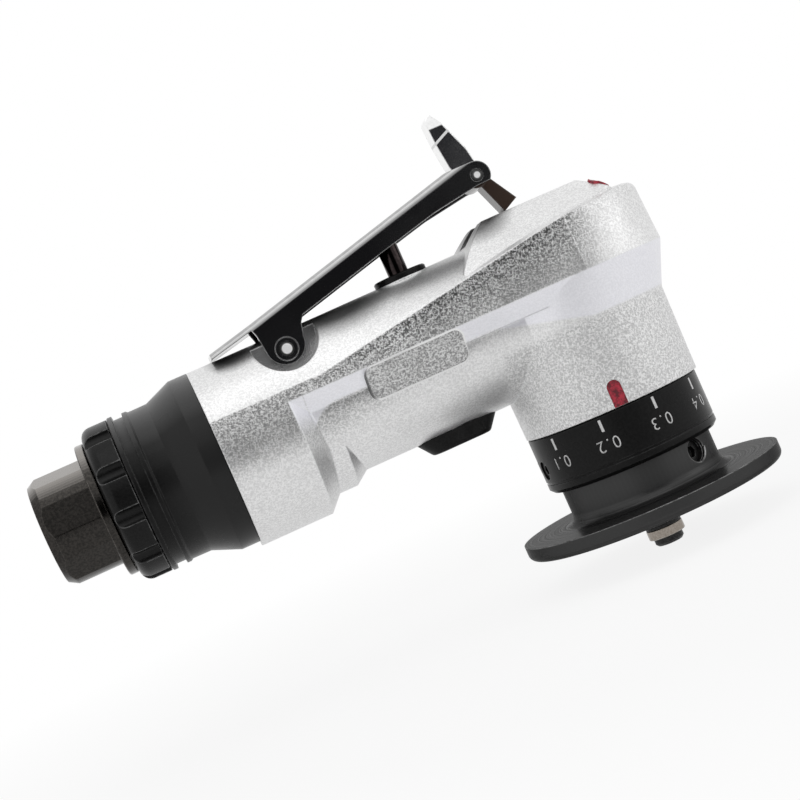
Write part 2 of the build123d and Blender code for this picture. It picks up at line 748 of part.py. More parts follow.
# Cast housing
with BuildPart() as main_housing:
    rear_section = body_section(
        STEP_X, GRIP_R, shoulder_rear, crease_rear, FLANK_CREASE_Z, BARREL_Z + BARREL_R
    )
    flank_section = body_section(
        FLANK_X, GRIP_R, shoulder_rear, crease_rear, FLANK_CREASE_Z, BARREL_Z + BARREL_R
    )
    nose_section = body_section(
        NOSE_X, HEAD_DRAFT_R, NOSE_R, crease_nose, FLANK_NOSE_CREASE_Z, FLANK_TOP_Z
    )
    extrude(rear_section, amount=FLANK_X - STEP_X)
    loft([flank_section, nose_section], ruled=True)

    # Nose: the flank carried forwards, then turned round about the nose axis with a soft upper rim
    with BuildSketch(Plane.YZ.offset(NOSE_X)):
        with BuildLine():
            nose_base = Polyline(
                (crease_nose, FLANK_NOSE_CREASE_Z),
                (NOSE_R, SHOULDER_Z),
                (-NOSE_R, SHOULDER_Z),
                (-crease_nose, FLANK_NOSE_CREASE_Z),
            )
            ThreePointArc(nose_base @ 1, (0, FLANK_TOP_Z), nose_base @ 0)
        make_face()
    extrude(amount=NOSE_R + 2)
    with BuildSketch(Plane.YZ.offset(NOSE_X)):
        with BuildLine():
            nose_wall = Line((-NOSE_R, SHOULDER_Z), (-NOSE_TOP_R, NOSE_TOP_Z - NOSE_RIM_R))
            rim_mid = (1 - sin(radians(45))) * NOSE_RIM_R
            nose_rim = ThreePointArc(
                nose_wall @ 1,
                (-NOSE_TOP_R + rim_mid, NOSE_TOP_Z - rim_mid),
                (-NOSE_TOP_R + NOSE_RIM_R, NOSE_TOP_Z),
            )
            Polyline(
                nose_rim @ 1,
                (0, NOSE_TOP_Z),
                (0, CROWN_TOP_Z),
                (-2 * NOSE_R, CROWN_TOP_Z),
                (-2 * NOSE_R, HEAD_BEVEL_Z),
                (-NOSE_R, HEAD_BEVEL_Z),
                nose_wall @ 0,
            )
        make_face()
    revolve(axis=NOSE_AXIS, revolution_arc=180, mode=Mode.SUBTRACT)
    add(crown.part)

    # Rear barrel, stepped down to the heel of the grip
    barrel_side = [
        (BARREL_REAR_X, 0),
        (BARREL_REAR_X, BARREL_R),
        (STEP_X, BARREL_R),
        (STEP_END_X, STEP_R),
        (STEP_END_X + 1, STEP_R - 1.4),
        (STEP_END_X + 1, 0),
    ]
    revolve(outline([(x, BARREL_Z + radius) for x, radius in barrel_side]), axis=BARREL_AXIS)
    heel_side = [
        (STEP_X, 0),
        (STEP_X, HEEL_R),
        (HEEL_X, HEEL_R),
        (HEEL_END_X, HEEL_R - 2.6),
        (HEEL_END_X, 0),
    ]
    revolve(outline([(x, HEEL_Z + radius) for x, radius in heel_side]), axis=HEEL_AXIS)
    revolve(
        rear_profile(
            [(SPIGOT_X, 0), (SPIGOT_X, SPIGOT_R), (BARREL_REAR_X + 1, SPIGOT_R), (BARREL_REAR_X + 1, 0)]
        ),
        axis=REAR_AXIS,
    )

    # Grip with a round underside
    with BuildSketch(Plane.YZ.offset(STEP_END_X)):
        with Locations((0, GRIP_Z)):
            Circle(GRIP_R)
        with Locations((0, GRIP_Z + GRIP_R)):
            Rectangle(2 * GRIP_R, 2 * (GRIP_R - 2), mode=Mode.SUBTRACT)
    extrude(amount=HEAD_X - STEP_END_X)

    # Head: drafted cylinder, and a bevel that leads out to the nose
    head_bevel = disc(HEAD_DRAFT_R, HEAD_X, HEAD_BEVEL_Z)
    loft([disc(HEAD_R, HEAD_X, HEAD_LOW_Z), head_bevel], ruled=True)
    loft([head_bevel, disc(NOSE_R, NOSE_X, SHOULDER_Z)], ruled=True)

    # Blank label pad on the bevel of the near side
    lean = atan2(LABEL_PAD_LEAN, LABEL_PAD_H)
    pad_plane = Plane(
        origin=(LABEL_PAD_X, -LABEL_PAD_Y, LABEL_PAD_Z), x_dir=(1, 0, 0), z_dir=(0, -cos(lean), -sin(lean))
    )
    with BuildSketch(pad_plane):
        RectangleRounded(LABEL_PAD_L, LABEL_PAD_H / cos(lean), LABEL_PAD_ROUND)
    extrude(amount=-4)

    # Flat land round the valve bush
    with BuildSketch(Plane.XY.offset(BARREL_Z)):
        with Locations((VALVE_X, 0)):
            Circle(BUSH_LAND_R)
    extrude(amount=BUSH_LAND_Z - BARREL_Z)

    # Pivot pockets on both sides of the spine that carries the lever, and the pin's hole through it
    for side in (-1, 1):
        with BuildSketch(Plane.XZ.offset(side * POCKET_HALF)):
            with Locations((PIVOT_X, POCKET_Z)):
                Circle(POCKET_R)
        extrude(amount=side * BARREL_R, mode=Mode.SUBTRACT)
    with BuildSketch(Plane.XZ):
        with Locations((PIVOT_X, PIVOT_Z)):
            Circle(LEVER_PIN_R + FIT)
    extrude(amount=BARREL_R, both=True, mode=Mode.SUBTRACT)

    # Notch in the crown's rear ramp that the lock lever's leg swings through
    extrude(outline(NOTCH), amount=NOTCH_HALF, both=True, mode=Mode.SUBTRACT)

    # Index mark on the head, sunk for the paint
    with BuildSketch(radial_plane(INDEX_ANGLE, HEAD_R + 1, 0)):
        with Locations((0, (HEAD_LOW_Z + INDEX_TOP_Z) / 2 - 1)):
            SlotOverall(INDEX_TOP_Z - HEAD_LOW_Z + 2, INDEX_W, rotation=90)
    extrude(amount=-(1 + INDEX_DEPTH), mode=Mode.SUBTRACT)

    # Motor bore with the seat of the upper bearing
    with BuildSketch(Plane.XY.offset(HEAD_LOW_Z - 1)):
        Circle(MOTOR_BORE_R)
    extrude(amount=UPPER_BEARING_LOW_Z - HEAD_LOW_Z + 1, mode=Mode.SUBTRACT)
    with BuildSketch(Plane.XY.offset(UPPER_BEARING_LOW_Z)):
        Circle(UPPER_BEARING_R + FIT)
    extrude(amount=UPPER_BEARING_W + FIT, mode=Mode.SUBTRACT)

    # Valve bore through the grip, with a spot face for the bush
    with BuildSketch(Plane.XY.offset(BELLY_LOW_Z)):
        with Locations((VALVE_X, 0)):
            Circle(VALVE_BORE_R)
    extrude(amount=BARREL_R * 2, mode=Mode.SUBTRACT)
    with BuildSketch(Plane.XY.offset(BUSH_FLANGE_Z)):
        with Locations((VALVE_X, 0)):
            Circle(BUSH_FLANGE_R + FIT)
    extrude(amount=5, mode=Mode.SUBTRACT)

    # Air passages: inlet to the valve, valve to the motor, motor to the exhaust
    with BuildSketch(Plane.YZ.offset(SPIGOT_X)):
        with Locations((0, INLET_GALLERY_Z)):
            Circle(INLET_GALLERY_R)
    extrude(amount=VALVE_X - SPIGOT_X, mode=Mode.SUBTRACT)
    with BuildSketch(Plane.YZ.offset(SPIGOT_X)):
        with Locations((0, REAR_Z)):
            Circle(INLET_SHANK_R + FIT)
    extrude(amount=INLET_SHANK_X - SPIGOT_X + 0.1, mode=Mode.SUBTRACT)
    with BuildSketch(Plane.YZ.offset(VALVE_X + 2)):
        with Locations((-MOTOR_PORT_Y, MOTOR_PORT_Z)):
            Circle(MOTOR_PORT_R)
    extrude(amount=MOTOR_BORE_R - 2, mode=Mode.SUBTRACT)
    with BuildSketch(Plane.YZ.offset(SPIGOT_X)):
        with Locations((EXHAUST_Y, EXHAUST_Z)):
            Circle(EXHAUST_R)
    extrude(amount=-SPIGOT_X - EXHAUST_Y, mode=Mode.SUBTRACT)

    # Groove of the collar's seal
    revolve(
        rear_profile(
            [
                (COLLAR_SEAL_X - SEAL_R - FIT, SPIGOT_R - 1.6 * SEAL_R),
                (COLLAR_SEAL_X + SEAL_R + FIT, SPIGOT_R - 1.6 * SEAL_R),
                (COLLAR_SEAL_X + SEAL_R + FIT, SPIGOT_R + 1),
                (COLLAR_SEAL_X - SEAL_R - FIT, SPIGOT_R + 1),
            ]
        ),
        axis=REAR_AXIS,
        mode=Mode.SUBTRACT,
    )
pieces["main_housing"] = main_housing

# Seals on the spigot and on the inlet's shank
with BuildPart() as collar_seal:
    with BuildSketch(Plane.XZ):
        with Locations((COLLAR_SEAL_X, REAR_Z + SPIGOT_R - 0.55 * SEAL_R)):
            RegularPolygon(SEAL_R * 0.96, 8)
    revolve(axis=REAR_AXIS)
    with BuildSketch(Plane.YZ.offset(COLLAR_SEAL_X - SEAL_R - 1)):
        with Locations((0, REAR_Z)):
            Circle(SPIGOT_R)
    extrude(amount=2 * SEAL_R + 2, mode=Mode.INTERSECT)
pieces["collar_seal"] = collar_seal
with BuildPart() as inlet_seal:
    with BuildSketch(Plane.XZ):
        with Locations((INLET_SEAL_X, REAR_Z + INLET_SHANK_R - SEAL_R)):
            RegularPolygon(SEAL_R * 0.96, 8)
    revolve(axis=REAR_AXIS)
pieces["inlet_seal"] = inlet_seal

# Exhaust collar: flared front, ribbed neck and a rear wall with a ring of exhaust holes behind the regulator
with BuildPart() as exhaust_collar:
    revolve(
        rear_profile(
            [
                (BARREL_REAR_X - FIT, COLLAR_BORE_R),
                (BARREL_REAR_X - FIT, COLLAR_R),
                (COLLAR_FLARE_X, COLLAR_R),
                (COLLAR_NECK_X, COLLAR_NECK_R + 0.05),
                (FRONT_RIDGE_X + RIDGE_W, COLLAR_NECK_R),
                (FRONT_RIDGE_X + RIDGE_W / 2, FRONT_RIDGE_R),
                (FRONT_RIDGE_X - RIDGE_W / 2, FRONT_RIDGE_R),
                (FRONT_RIDGE_X - RIDGE_W / 2, COLLAR_NECK_R - 0.4),
                (REAR_RIDGE_X + RIDGE_W / 2, COLLAR_NECK_R - 0.4),
                (REAR_RIDGE_X + RIDGE_W / 2, REAR_RIDGE_R),
                (REAR_RIDGE_X - RIDGE_W / 2, REAR_RIDGE_R),
                (COLLAR_END_X, REAR_RIDGE_R - 0.2),
                (COLLAR_END_X, INLET_SHANK_R + 0.1),
                (COLLAR_WALL_X, INLET_SHANK_R + 0.1),
                (COLLAR_WALL_X, COLLAR_BORE_R),
            ]
        ),
        axis=REAR_AXIS,
    )
    with BuildSketch(Plane.YZ.offset(COLLAR_END_X - 1)):
        with Locations((0, REAR_Z)):
            with PolarLocations(EXHAUST_CIRCLE_R, EXHAUST_HOLES):
                Circle(EXHAUST_HOLE_R)
    extrude(amount=COLLAR_WALL_X - COLLAR_END_X + 2, mode=Mode.SUBTRACT)
pieces["exhaust_collar"] = exhaust_collar

# Porous silencer ring in the collar
with BuildPart() as exhaust_silencer:
    revolve(
        rear_profile(
            [
                (SPIGOT_X - 0.3, INLET_SHANK_R + 0.3),
                (SPIGOT_X - 0.3, COLLAR_BORE_R - 0.2),
                (FRONT_RIDGE_X + 0.3, COLLAR_BORE_R - 0.2),
                (FRONT_RIDGE_X + 0.3, INLET_SHANK_R + 0.3),
            ]
        ),
        axis=REAR_AXIS,
    )
pieces["exhaust_silencer"] = exhaust_silencer

# Regulator ring: a castellated grip ring that turns on the inlet's journal
with BuildPart() as regulator_ring:
    with BuildSketch(Plane.YZ.offset(REGULATOR_REAR_X)):
        with Locations((0, REAR_Z)):
            Circle(REGULATOR_R)
            Circle(JOURNAL_R + 0.1, mode=Mode.SUBTRACT)
    extrude(amount=REGULATOR_FRONT_X - REGULATOR_REAR_X)
    rear_rim = regulator_ring.edges().filter_by(GeomType.CIRCLE).sort_by(SortBy.RADIUS)[-2:]
    fillet(rear_rim.sort_by(Axis.X)[0], REGULATOR_ROUND)
    with BuildSketch(Plane.YZ.offset(REGULATOR_REAR_X)):
        with Locations((0, REAR_Z)):
            with PolarLocations(REGULATOR_R + LOBE_GAP_R - LOBE_DEPTH, LOBE_COUNT, start_angle=LOBE_TURN):
                Circle(LOBE_GAP_R)
    extrude(amount=REGULATOR_FRONT_X - REGULATOR_REAR_X, mode=Mode.SUBTRACT)
pieces["regulator_ring"] = regulator_ring

# Inlet bushing: hexagon with the air thread, flange, journal of the ring and the shank that holds the collar
with BuildPart() as inlet_bushing:
    revolve(
        rear_profile(
            [
                (HEX_END_X, 0),
                (HEX_END_X, HEX_CHAMFER_R),
                (HEX_END_X + HEX_CHAMFER_L, HEX_LAND_R),
                (FLANGE_X - FLANGE_T, HEX_LAND_R),
                (FLANGE_X - FLANGE_T, FLANGE_R - 0.2),
                (FLANGE_X - FLANGE_T + 0.2, FLANGE_R),
                (FLANGE_X - 0.2, FLANGE_R),
                (FLANGE_X, FLANGE_R - 0.2),
                (FLANGE_X, JOURNAL_R),
                (JOURNAL_X, JOURNAL_R),
                (JOURNAL_X, INLET_SHANK_R),
                (INLET_SEAL_X - SEAL_R - FIT, INLET_SHANK_R),
                (INLET_SEAL_X - SEAL_R - FIT, INLET_SHANK_R - 2 * SEAL_R),
                (INLET_SEAL_X + SEAL_R + FIT, INLET_SHANK_R - 2 * SEAL_R),
                (INLET_SEAL_X + SEAL_R + FIT, INLET_SHANK_R),
                (INLET_SHANK_X, INLET_SHANK_R),
                (INLET_SHANK_X, 0),
            ]
        ),
        axis=REAR_AXIS,
    )
    with BuildSketch(Plane.YZ.offset(HEX_END_X - 1)):
        with Locations((0, REAR_Z)):
            Circle(HEX_FLATS)
            RegularPolygon(HEX_FLATS / 2, 6, major_radius=False, rotation=HEX_TURN, mode=Mode.SUBTRACT)
    extrude(amount=FLANGE_X - FLANGE_T - HEX_END_X + 1, mode=Mode.SUBTRACT)
    with BuildSketch(Plane.YZ.offset(HEX_END_X)):
        with Locations((0, REAR_Z)):
            Circle(INLET_THREAD_R)
    extrude(amount=INLET_THREAD_L + INLET_RELIEF_L + STRAINER_T, mode=Mode.SUBTRACT)
    with BuildSketch(Plane.YZ.offset(HEX_END_X + INLET_THREAD_L)):
        with Locations((0, REAR_Z)):
            Circle(INLET_RELIEF_R)
    extrude(amount=INLET_RELIEF_L, mode=Mode.SUBTRACT)
    with BuildSketch(Plane.YZ.offset(HEX_END_X)):
        with Locations((0, REAR_Z)):
            Circle(INLET_BORE_R)
    extrude(amount=INLET_SHANK_X - HEX_END_X, mode=Mode.SUBTRACT)
pieces["inlet_bushing"] = inlet_bushing

# Strainer thimble at the bottom of the air thread
with BuildPart() as inlet_strainer:
    strainer_x = HEX_END_X + INLET_THREAD_L + INLET_RELIEF_L
    revolve(
        rear_profile(
            [
                (strainer_x, STRAINER_R - 0.5),
                (strainer_x, INLET_THREAD_R - 0.1),
                (strainer_x + STRAINER_T - 0.1, INLET_THREAD_R - 0.1),
                (strainer_x + STRAINER_T - 0.1, STRAINER_R),
                (strainer_x + STRAINER_L, STRAINER_R),
                (strainer_x + STRAINER_L, 0),
                (strainer_x + STRAINER_L - 0.5, 0),
                (strainer_x + STRAINER_L - 0.5, STRAINER_R - 0.5),
            ]
        ),
        axis=REAR_AXIS,
    )
pieces["inlet_strainer"] = inlet_strainer

# Valve bush, which guides the stem and closes the valve chamber on top
with BuildPart() as valve_bush:
    revolve(
        outline(
            [
                (VALVE_X + STEM_R + FIT, BUSH_LOW_Z),
                (VALVE_X + VALVE_BORE_R - FIT, BUSH_LOW_Z),
                (VALVE_X + VALVE_BORE_R - FIT, BUSH_FLANGE_Z),
                (VALVE_X + BUSH_FLANGE_R, BUSH_FLANGE_Z),
                (VALVE_X + BUSH_FLANGE_R, BUSH_TOP_Z - 0.3),
                (VALVE_X + BUSH_FLANGE_R - 0.3, BUSH_TOP_Z),
                (VALVE_X + STEM_R + FIT, BUSH_TOP_Z),
            ]
        ),
        axis=VALVE_AXIS,
    )
pieces["valve_bush"] = valve_bush

# Valve stem with a domed push button on top and a poppet below
with BuildPart() as valve_stem:
    dome_z = STEM_TOP_Z - STEM_R
    poppet_top_z = SEAT_Z - SEAL_T - 0.05
    with BuildSketch(Plane.XZ):
        with BuildLine():
            stem_top = Line((VALVE_X, STEM_TOP_Z), (VALVE_X, poppet_top_z - POPPET_T))
            stem_side = Polyline(
                stem_top @ 1,
                (VALVE_X + POPPET_R, poppet_top_z - POPPET_T),
                (VALVE_X + POPPET_R, poppet_top_z),
                (VALVE_X + STEM_NECK_R, poppet_top_z),
                (VALVE_X + STEM_NECK_R, BUSH_LOW_Z - 1),
                (VALVE_X + STEM_R, BUSH_LOW_Z - 0.3),
                (VALVE_X + STEM_R, dome_z),
            )
            dome_corner = (VALVE_X + STEM_R * sin(radians(45)), dome_z + STEM_R * cos(radians(45)))
            ThreePointArc(stem_side @ 1, dome_corner, stem_top @ 0)
        make_face()
    revolve(axis=VALVE_AXIS)
pieces["valve_stem"] = valve_stem
with BuildPart() as valve_seal:
    revolve(
        ring_profile(STEM_NECK_R + FIT, POPPET_R, poppet_top_z, SEAT_Z - 0.05, VALVE_X), axis=VALVE_AXIS
    )
pieces["valve_seal"] = valve_seal
with BuildPart() as valve_seat:
    revolve(ring_profile(SEAT_BORE_R, VALVE_BORE_R - FIT, SEAT_Z, SEAT_Z + SEAT_T, VALVE_X), axis=VALVE_AXIS)
pieces["valve_seat"] = valve_seat

# Valve spring, wound in half-turn arcs between the plug and the poppet
spring_low_z = PLUG_TOP_Z + SPRING_WIRE_R + 0.05
spring_high_z = poppet_top_z - POPPET_T - SPRING_WIRE_R - 0.05
spring_pitch = (spring_high_z - spring_low_z) / SPRING_TURNS
print(f"valve spring: least gap between turns {spring_pitch - 2 * SPRING_WIRE_R:.2f} mm")
with BuildPart() as valve_spring:
    coil = coil_points(SPRING_R, spring_pitch, SPRING_TURNS, Plane((VALVE_X, 0, spring_low_z)))
    with BuildLine() as coil_line:
        for start in range(0, len(coil) - 2, 2):
            ThreePointArc(coil[start], coil[start + 1], coil[start + 2])
    with BuildSketch(Plane(origin=coil_line.line @ 0, z_dir=coil_line.line % 0)):
        RegularPolygon(SPRING_WIRE_R, 6)
    sweep(path=coil_line.line)
pieces["valve_spring"] = valve_spring

# Plug that closes the valve chamber from below, with its pad under the grip
with BuildPart() as belly_plug:
    pad_foot = pad_face(BELLY_LOW_L, 2 * BELLY_HALF - 1.6, BELLY_HALF - 1, BELLY_LOW_Z)
    pad_root = pad_face(BELLY_L + 2, 2 * BELLY_HALF, BELLY_HALF - 0.3, BELLY_TOP_Z)
    loft([pad_foot, pad_root], ruled=True)
    fillet(belly_plug.edges().group_by(Axis.Z)[0], 1.0)
    with BuildSketch(Plane.YZ.offset(BELLY_X)):
        with Locations((0, GRIP_Z)):
            Circle(GRIP_R + FIT)
    extrude(amount=BELLY_L, both=True, mode=Mode.SUBTRACT)
    with BuildSketch(Plane.XY.offset(BELLY_LOW_Z + 1)):
        with Locations((VALVE_X, 0)):
            Circle(VALVE_BORE_R - FIT)
    extrude(amount=PLUG_TOP_Z - BELLY_LOW_Z - 1)
pieces["belly_plug"] = belly_plug

# Throttle lever: bent sheet with a tail, two pivot ears and cheeks for the lock lever
with BuildPart() as throttle_lever:
    nose_z = LOCK_Z + LEVER_NOSE_R
    with BuildSketch(Plane.XZ) as lever_side:
        with BuildLine():
            top_line = Polyline(
                (LEVER_TAIL_X, LEVER_TAIL_Z - LEVER_T * 0.9),
                (LEVER_TAIL_X, LEVER_TAIL_Z),
                (LEVER_BREAK_X, LEVER_BREAK_Z),
                (LEVER_SHOULDER_X, lever_top(LEVER_SHOULDER_X)),
                (LOCK_X, nose_z),
            )
            nose_end = (LOCK_X + LEVER_NOSE_R * sin(radians(130)), LOCK_Z + LEVER_NOSE_R * cos(radians(130)))
            nose_arc = ThreePointArc(top_line @ 1, (LOCK_X + LEVER_NOSE_R, LOCK_Z), nose_end)
            under_line = Polyline(
                nose_arc @ 1,
                (-9.0, 80.0),
                (-20.0, 78.3),
                (-34.0, 74.95),
                (-54.65, 69.75),
                (PIVOT_X + EAR_HALF, 68.4),
                (PIVOT_X + EAR_R, EAR_Z),
            )
            ear_arc = ThreePointArc(under_line @ 1, (PIVOT_X, EAR_Z - EAR_R), (PIVOT_X - EAR_R, EAR_Z))
            Polyline(
                ear_arc @ 1,
                (PIVOT_X - EAR_HALF + 0.3, 69.4),
                (LEVER_BREAK_X, LEVER_BREAK_Z - LEVER_T),
                top_line @ 0,
            )
        make_face()
    extrude(amount=LEVER_HALF, both=True)
    bends = throttle_lever.faces().sort_by(SortBy.AREA).filter_by(lambda face: face.normal_at().Z > 0.96)
    bend_edges = [edge for face in bends for edge in face.edges() if abs(edge.center().Y) > LEVER_HALF - 0.1]
    fillet([edge for edge in bend_edges if edge.center().X < LEVER_SHOULDER_X], LEVER_BEND_R)
    channel = outline(
        [
            (LEVER_BREAK_X - 0.2, BARREL_Z),
            (LEVER_BREAK_X - 0.2, lever_top(LEVER_BREAK_X - 0.2) - LEVER_T),
            (LEVER_WEB_END_X, lever_top(LEVER_WEB_END_X) - LEVER_T),
            (LEVER_WEB_END_X, nose_z + 10),
            (LOCK_X + 10, nose_z + 10),
            (LOCK_X + 10, BARREL_Z),
        ]
    )
    extrude(channel, amount=LEVER_HALF - LEVER_T, both=True, mode=Mode.SUBTRACT)
    with BuildSketch(Plane.XZ):
        with Locations((PIVOT_X, PIVOT_Z)):
            Circle(LEVER_PIN_R + FIT)
        with Locations((LOCK_X, LOCK_Z)):
            Circle(LOCK_PIN_R + FIT)
    extrude(amount=LEVER_HALF, both=True, mode=Mode.SUBTRACT)
    for side in (-1, 1):
        with BuildSketch(Plane.XZ.offset(side * LEVER_HALF)):
            with Locations((PIVOT_X, PIVOT_Z)):
                Circle(PIN_SINK_R)
        extrude(amount=-side * PIN_SINK_DEPTH, mode=Mode.SUBTRACT)
pieces["throttle_lever"] = throttle_lever

# Pivot pins of the lever and of the lock lever
with BuildPart() as lever_pin:
    with BuildSketch(Plane.XZ):
        with Locations((PIVOT_X, PIVOT_Z)):
            Circle(LEVER_PIN_R)
    extrude(amount=LEVER_HALF + 0.5, both=True)
    fillet(lever_pin.edges().filter_by(GeomType.CIRCLE), PIN_END_ROUND)
pieces["lever_pin"] = lever_pin
with BuildPart() as lock_pin:
    with BuildSketch(Plane.XZ):
        with Locations((LOCK_X, LOCK_Z)):
            Circle(LOCK_PIN_R)
    extrude(amount=LEVER_HALF + 0.4, both=True)
    fillet(lock_pin.edges().filter_by(GeomType.CIRCLE), PIN_END_ROUND)
pieces["lock_pin"] = lock_pin

# Lock lever: thumb tab above the lever, and a leg that stands on the crown until the tab is pushed
with BuildPart() as lock_lever:
    extrude(outline(LOCK_ARM), amount=LOCK_HALF, both=True)
    arm_ends = lock_lever.edges().filter_by(Axis.Y).group_by(Axis.Z)
    fillet(arm_ends[-1] + arm_ends[-2], LOCK_TIP_ROUND)
    for side in (-1, 1):
        tip_bevel = outline(
            [
                (side * LOCK_HALF, LOCK_BEVEL_Z),
                (side * (LOCK_HALF - LOCK_BEVEL_DEPTH), LOCK_BEVEL_TOP_Z),
                (side * (LOCK_HALF + 1), LOCK_BEVEL_TOP_Z),
                (side * (LOCK_HALF + 1), LOCK_BEVEL_Z),
            ],
            Plane.YZ.offset(LOCK_X - 10),
        )
        extrude(tip_bevel, amount=10, mode=Mode.SUBTRACT)
    extrude(outline(LOCK_ARM_HOLLOW), amount=LOCK_HALF - LOCK_T, both=True, mode=Mode.SUBTRACT)
    with BuildSketch(Plane.XZ.offset(-LOCK_HALF)):
        with Locations((LOCK_X, LOCK_Z)):
            Circle(LOCK_HUB_R)
    extrude(amount=LOCK_HALF + LOCK_HUB_HALF)
    extrude(outline(LOCK_LEG), amount=LOCK_LEG_HALF, both=True)
    with BuildSketch(Plane.XZ):
        with Locations((LOCK_X, LOCK_Z)):
            Circle(LOCK_PIN_R + FIT)
    extrude(amount=LOCK_HUB_HALF, both=True, mode=Mode.SUBTRACT)
pieces["lock_lever"] = lock_lever

# Torsion spring on the lock pin, beside the leg
print(f"lock spring: least gap between turns {LOCK_SPRING_PITCH - 2 * LOCK_SPRING_WIRE_R:.2f} mm")
lock_spring_high_y = LOCK_SPRING_LOW_Y + LOCK_SPRING_PITCH * LOCK_SPRING_TURNS + LOCK_SPRING_WIRE_R + 0.1
with BuildPart() as lock_spring:
    spring_place = Plane((LOCK_X, lock_spring_high_y, LOCK_Z), x_dir=(1, 0, 0), z_dir=(0, -1, 0))
    coil = coil_points(LOCK_SPRING_R, LOCK_SPRING_PITCH, LOCK_SPRING_TURNS, spring_place)
    with BuildLine() as lock_coil:
        for start in range(0, len(coil) - 2, 2):
            ThreePointArc(coil[start], coil[start + 1], coil[start + 2])
    with BuildSketch(Plane(origin=lock_coil.line @ 0, z_dir=lock_coil.line % 0)):
        RegularPolygon(LOCK_SPRING_WIRE_R, 6)
    sweep(path=lock_coil.line)
pieces["lock_spring"] = lock_spring

for label, piece in pieces.items():
    piece.part.label = label
    export_step(piece.part, f"parts/{label}.step")
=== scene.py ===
import json
from math import cos, radians, sin

import bpy
from mathutils import Matrix, Vector


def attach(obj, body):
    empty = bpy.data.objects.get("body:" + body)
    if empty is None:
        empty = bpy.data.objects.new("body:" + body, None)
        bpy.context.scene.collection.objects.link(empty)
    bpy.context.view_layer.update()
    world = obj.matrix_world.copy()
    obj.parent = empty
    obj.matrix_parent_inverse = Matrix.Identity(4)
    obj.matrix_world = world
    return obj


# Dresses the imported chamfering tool: finishes for every piece, the ring's scale, the painted marks,
# the threads that show, and a studio like the photograph's. Lengths are in metres, in the part's own frame.

MM = 0.001
MM_PER_M = 1000.0
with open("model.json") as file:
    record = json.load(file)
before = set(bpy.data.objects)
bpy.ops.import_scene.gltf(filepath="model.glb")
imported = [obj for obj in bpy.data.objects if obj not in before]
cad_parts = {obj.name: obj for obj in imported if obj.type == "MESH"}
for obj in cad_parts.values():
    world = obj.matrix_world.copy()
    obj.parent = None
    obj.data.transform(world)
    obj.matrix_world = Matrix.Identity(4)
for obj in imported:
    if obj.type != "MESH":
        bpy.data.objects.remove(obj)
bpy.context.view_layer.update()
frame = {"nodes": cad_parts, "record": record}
nodes = frame["nodes"]
bpy.ops.object.select_all(action="DESELECT")


# Small tools for building shader trees


def rgb(red, green, blue):
    """Opaque colour."""
    return (red, green, blue, 1.0)


def grey(level, warm=0.0):
    """Grey of that level; warm shifts it to brown, or to blue when negative."""
    return rgb(level * (1 + warm), level, level * (1 - warm))


def give(tree, socket, value):
    """Links an input to another node's output, or sets it to a plain value."""
    if isinstance(value, bpy.types.NodeSocket):
        tree.links.new(value, socket)
    else:
        socket.default_value = value


def feed(tree, node, **values):
    """Gives a node's inputs, by name, what they take."""
    for name, value in values.items():
        give(tree, node.inputs[name.replace("_", " ")], value)


def add_node(tree, kind, x, y, **settings):
    """A node at a place in the tree; settings are its own properties or, by name, what its inputs take."""
    made = tree.nodes.new(kind)
    made.location = (x, y)
    own = [name for name in settings if hasattr(made, name)]
    for name in own:
        setattr(made, name, settings.pop(name))
    feed(tree, made, **settings)
    return made


def new_group(name, inputs, outputs):
    """An empty shader group with its named sockets."""
    tree = bpy.data.node_groups.new(name, "ShaderNodeTree")
    for socket, value in inputs.items():
        made = tree.interface.new_socket(name=socket, in_out="INPUT", socket_type="NodeSocketFloat")
        made.default_value = value
    for socket, kind in outputs.items():
        tree.interface.new_socket(name=socket, in_out="OUTPUT", socket_type=kind)
    start = add_node(tree, "NodeGroupInput", -900, 0)
    end = add_node(tree, "NodeGroupOutput", 700, 0)
    return tree, start, end


def place_group(tree, group, x, y, **values):
    """The group inside a material, with its own values."""
    return add_node(tree, "ShaderNodeGroup", x, y, node_tree=group, **values)


def emptied_tree(owner):
    """The node tree of a material or a world, without nodes."""
    owner.use_nodes = True
    owner.node_tree.nodes.clear()
    return owner.node_tree


def new_material(name):
    """A material with its tree, its shader and its output."""
    made = bpy.data.materials.new(name)
    tree = emptied_tree(made)
    shader = add_node(tree, "ShaderNodeBsdfPrincipled", 500, 0)
    add_node(tree, "ShaderNodeOutputMaterial", 850, 0, Surface=shader.outputs["BSDF"])
    return made, tree, shader


def number_math(tree, x, y, operation, *values):
    """Result of a sum on numbers, each a socket or a plain number."""
    made = add_node(tree, "ShaderNodeMath", x, y, operation=operation)
    for socket, value in zip(made.inputs, values):
        give(tree, socket, value)
    return made.outputs[0]


def vector_math(tree, x, y, operation, *values):
    """Result of a sum on vectors, each a socket or a plain vector; a length or a dot product is a number."""
    made = add_node(tree, "ShaderNodeVectorMath", x, y, operation=operation)
    for socket, value in zip(made.inputs, values):
        give(tree, socket, value)
    return made.outputs["Value" if operation in ("LENGTH", "DOT_PRODUCT") else "Vector"]


def carried(tree, x, y, value, low, high, from_low=0.0, from_high=1.0):
    """A number carried from one range to another, and held at the ends."""
    made = add_node(tree, "ShaderNodeMapRange", x, y, Value=value, To_Min=low, To_Max=high)
    feed(tree, made, From_Min=from_low, From_Max=from_high)
    return made.outputs["Result"]


def noise(tree, x, y, place, pitch, detail, roughness):
    """Noise at a place, with so many patches a metre."""
    made = add_node(tree, "ShaderNodeTexNoise", x, y, Vector=place, Scale=pitch, Detail=detail)
    feed(tree, made, Roughness=roughness)
    return made.outputs["Fac"]


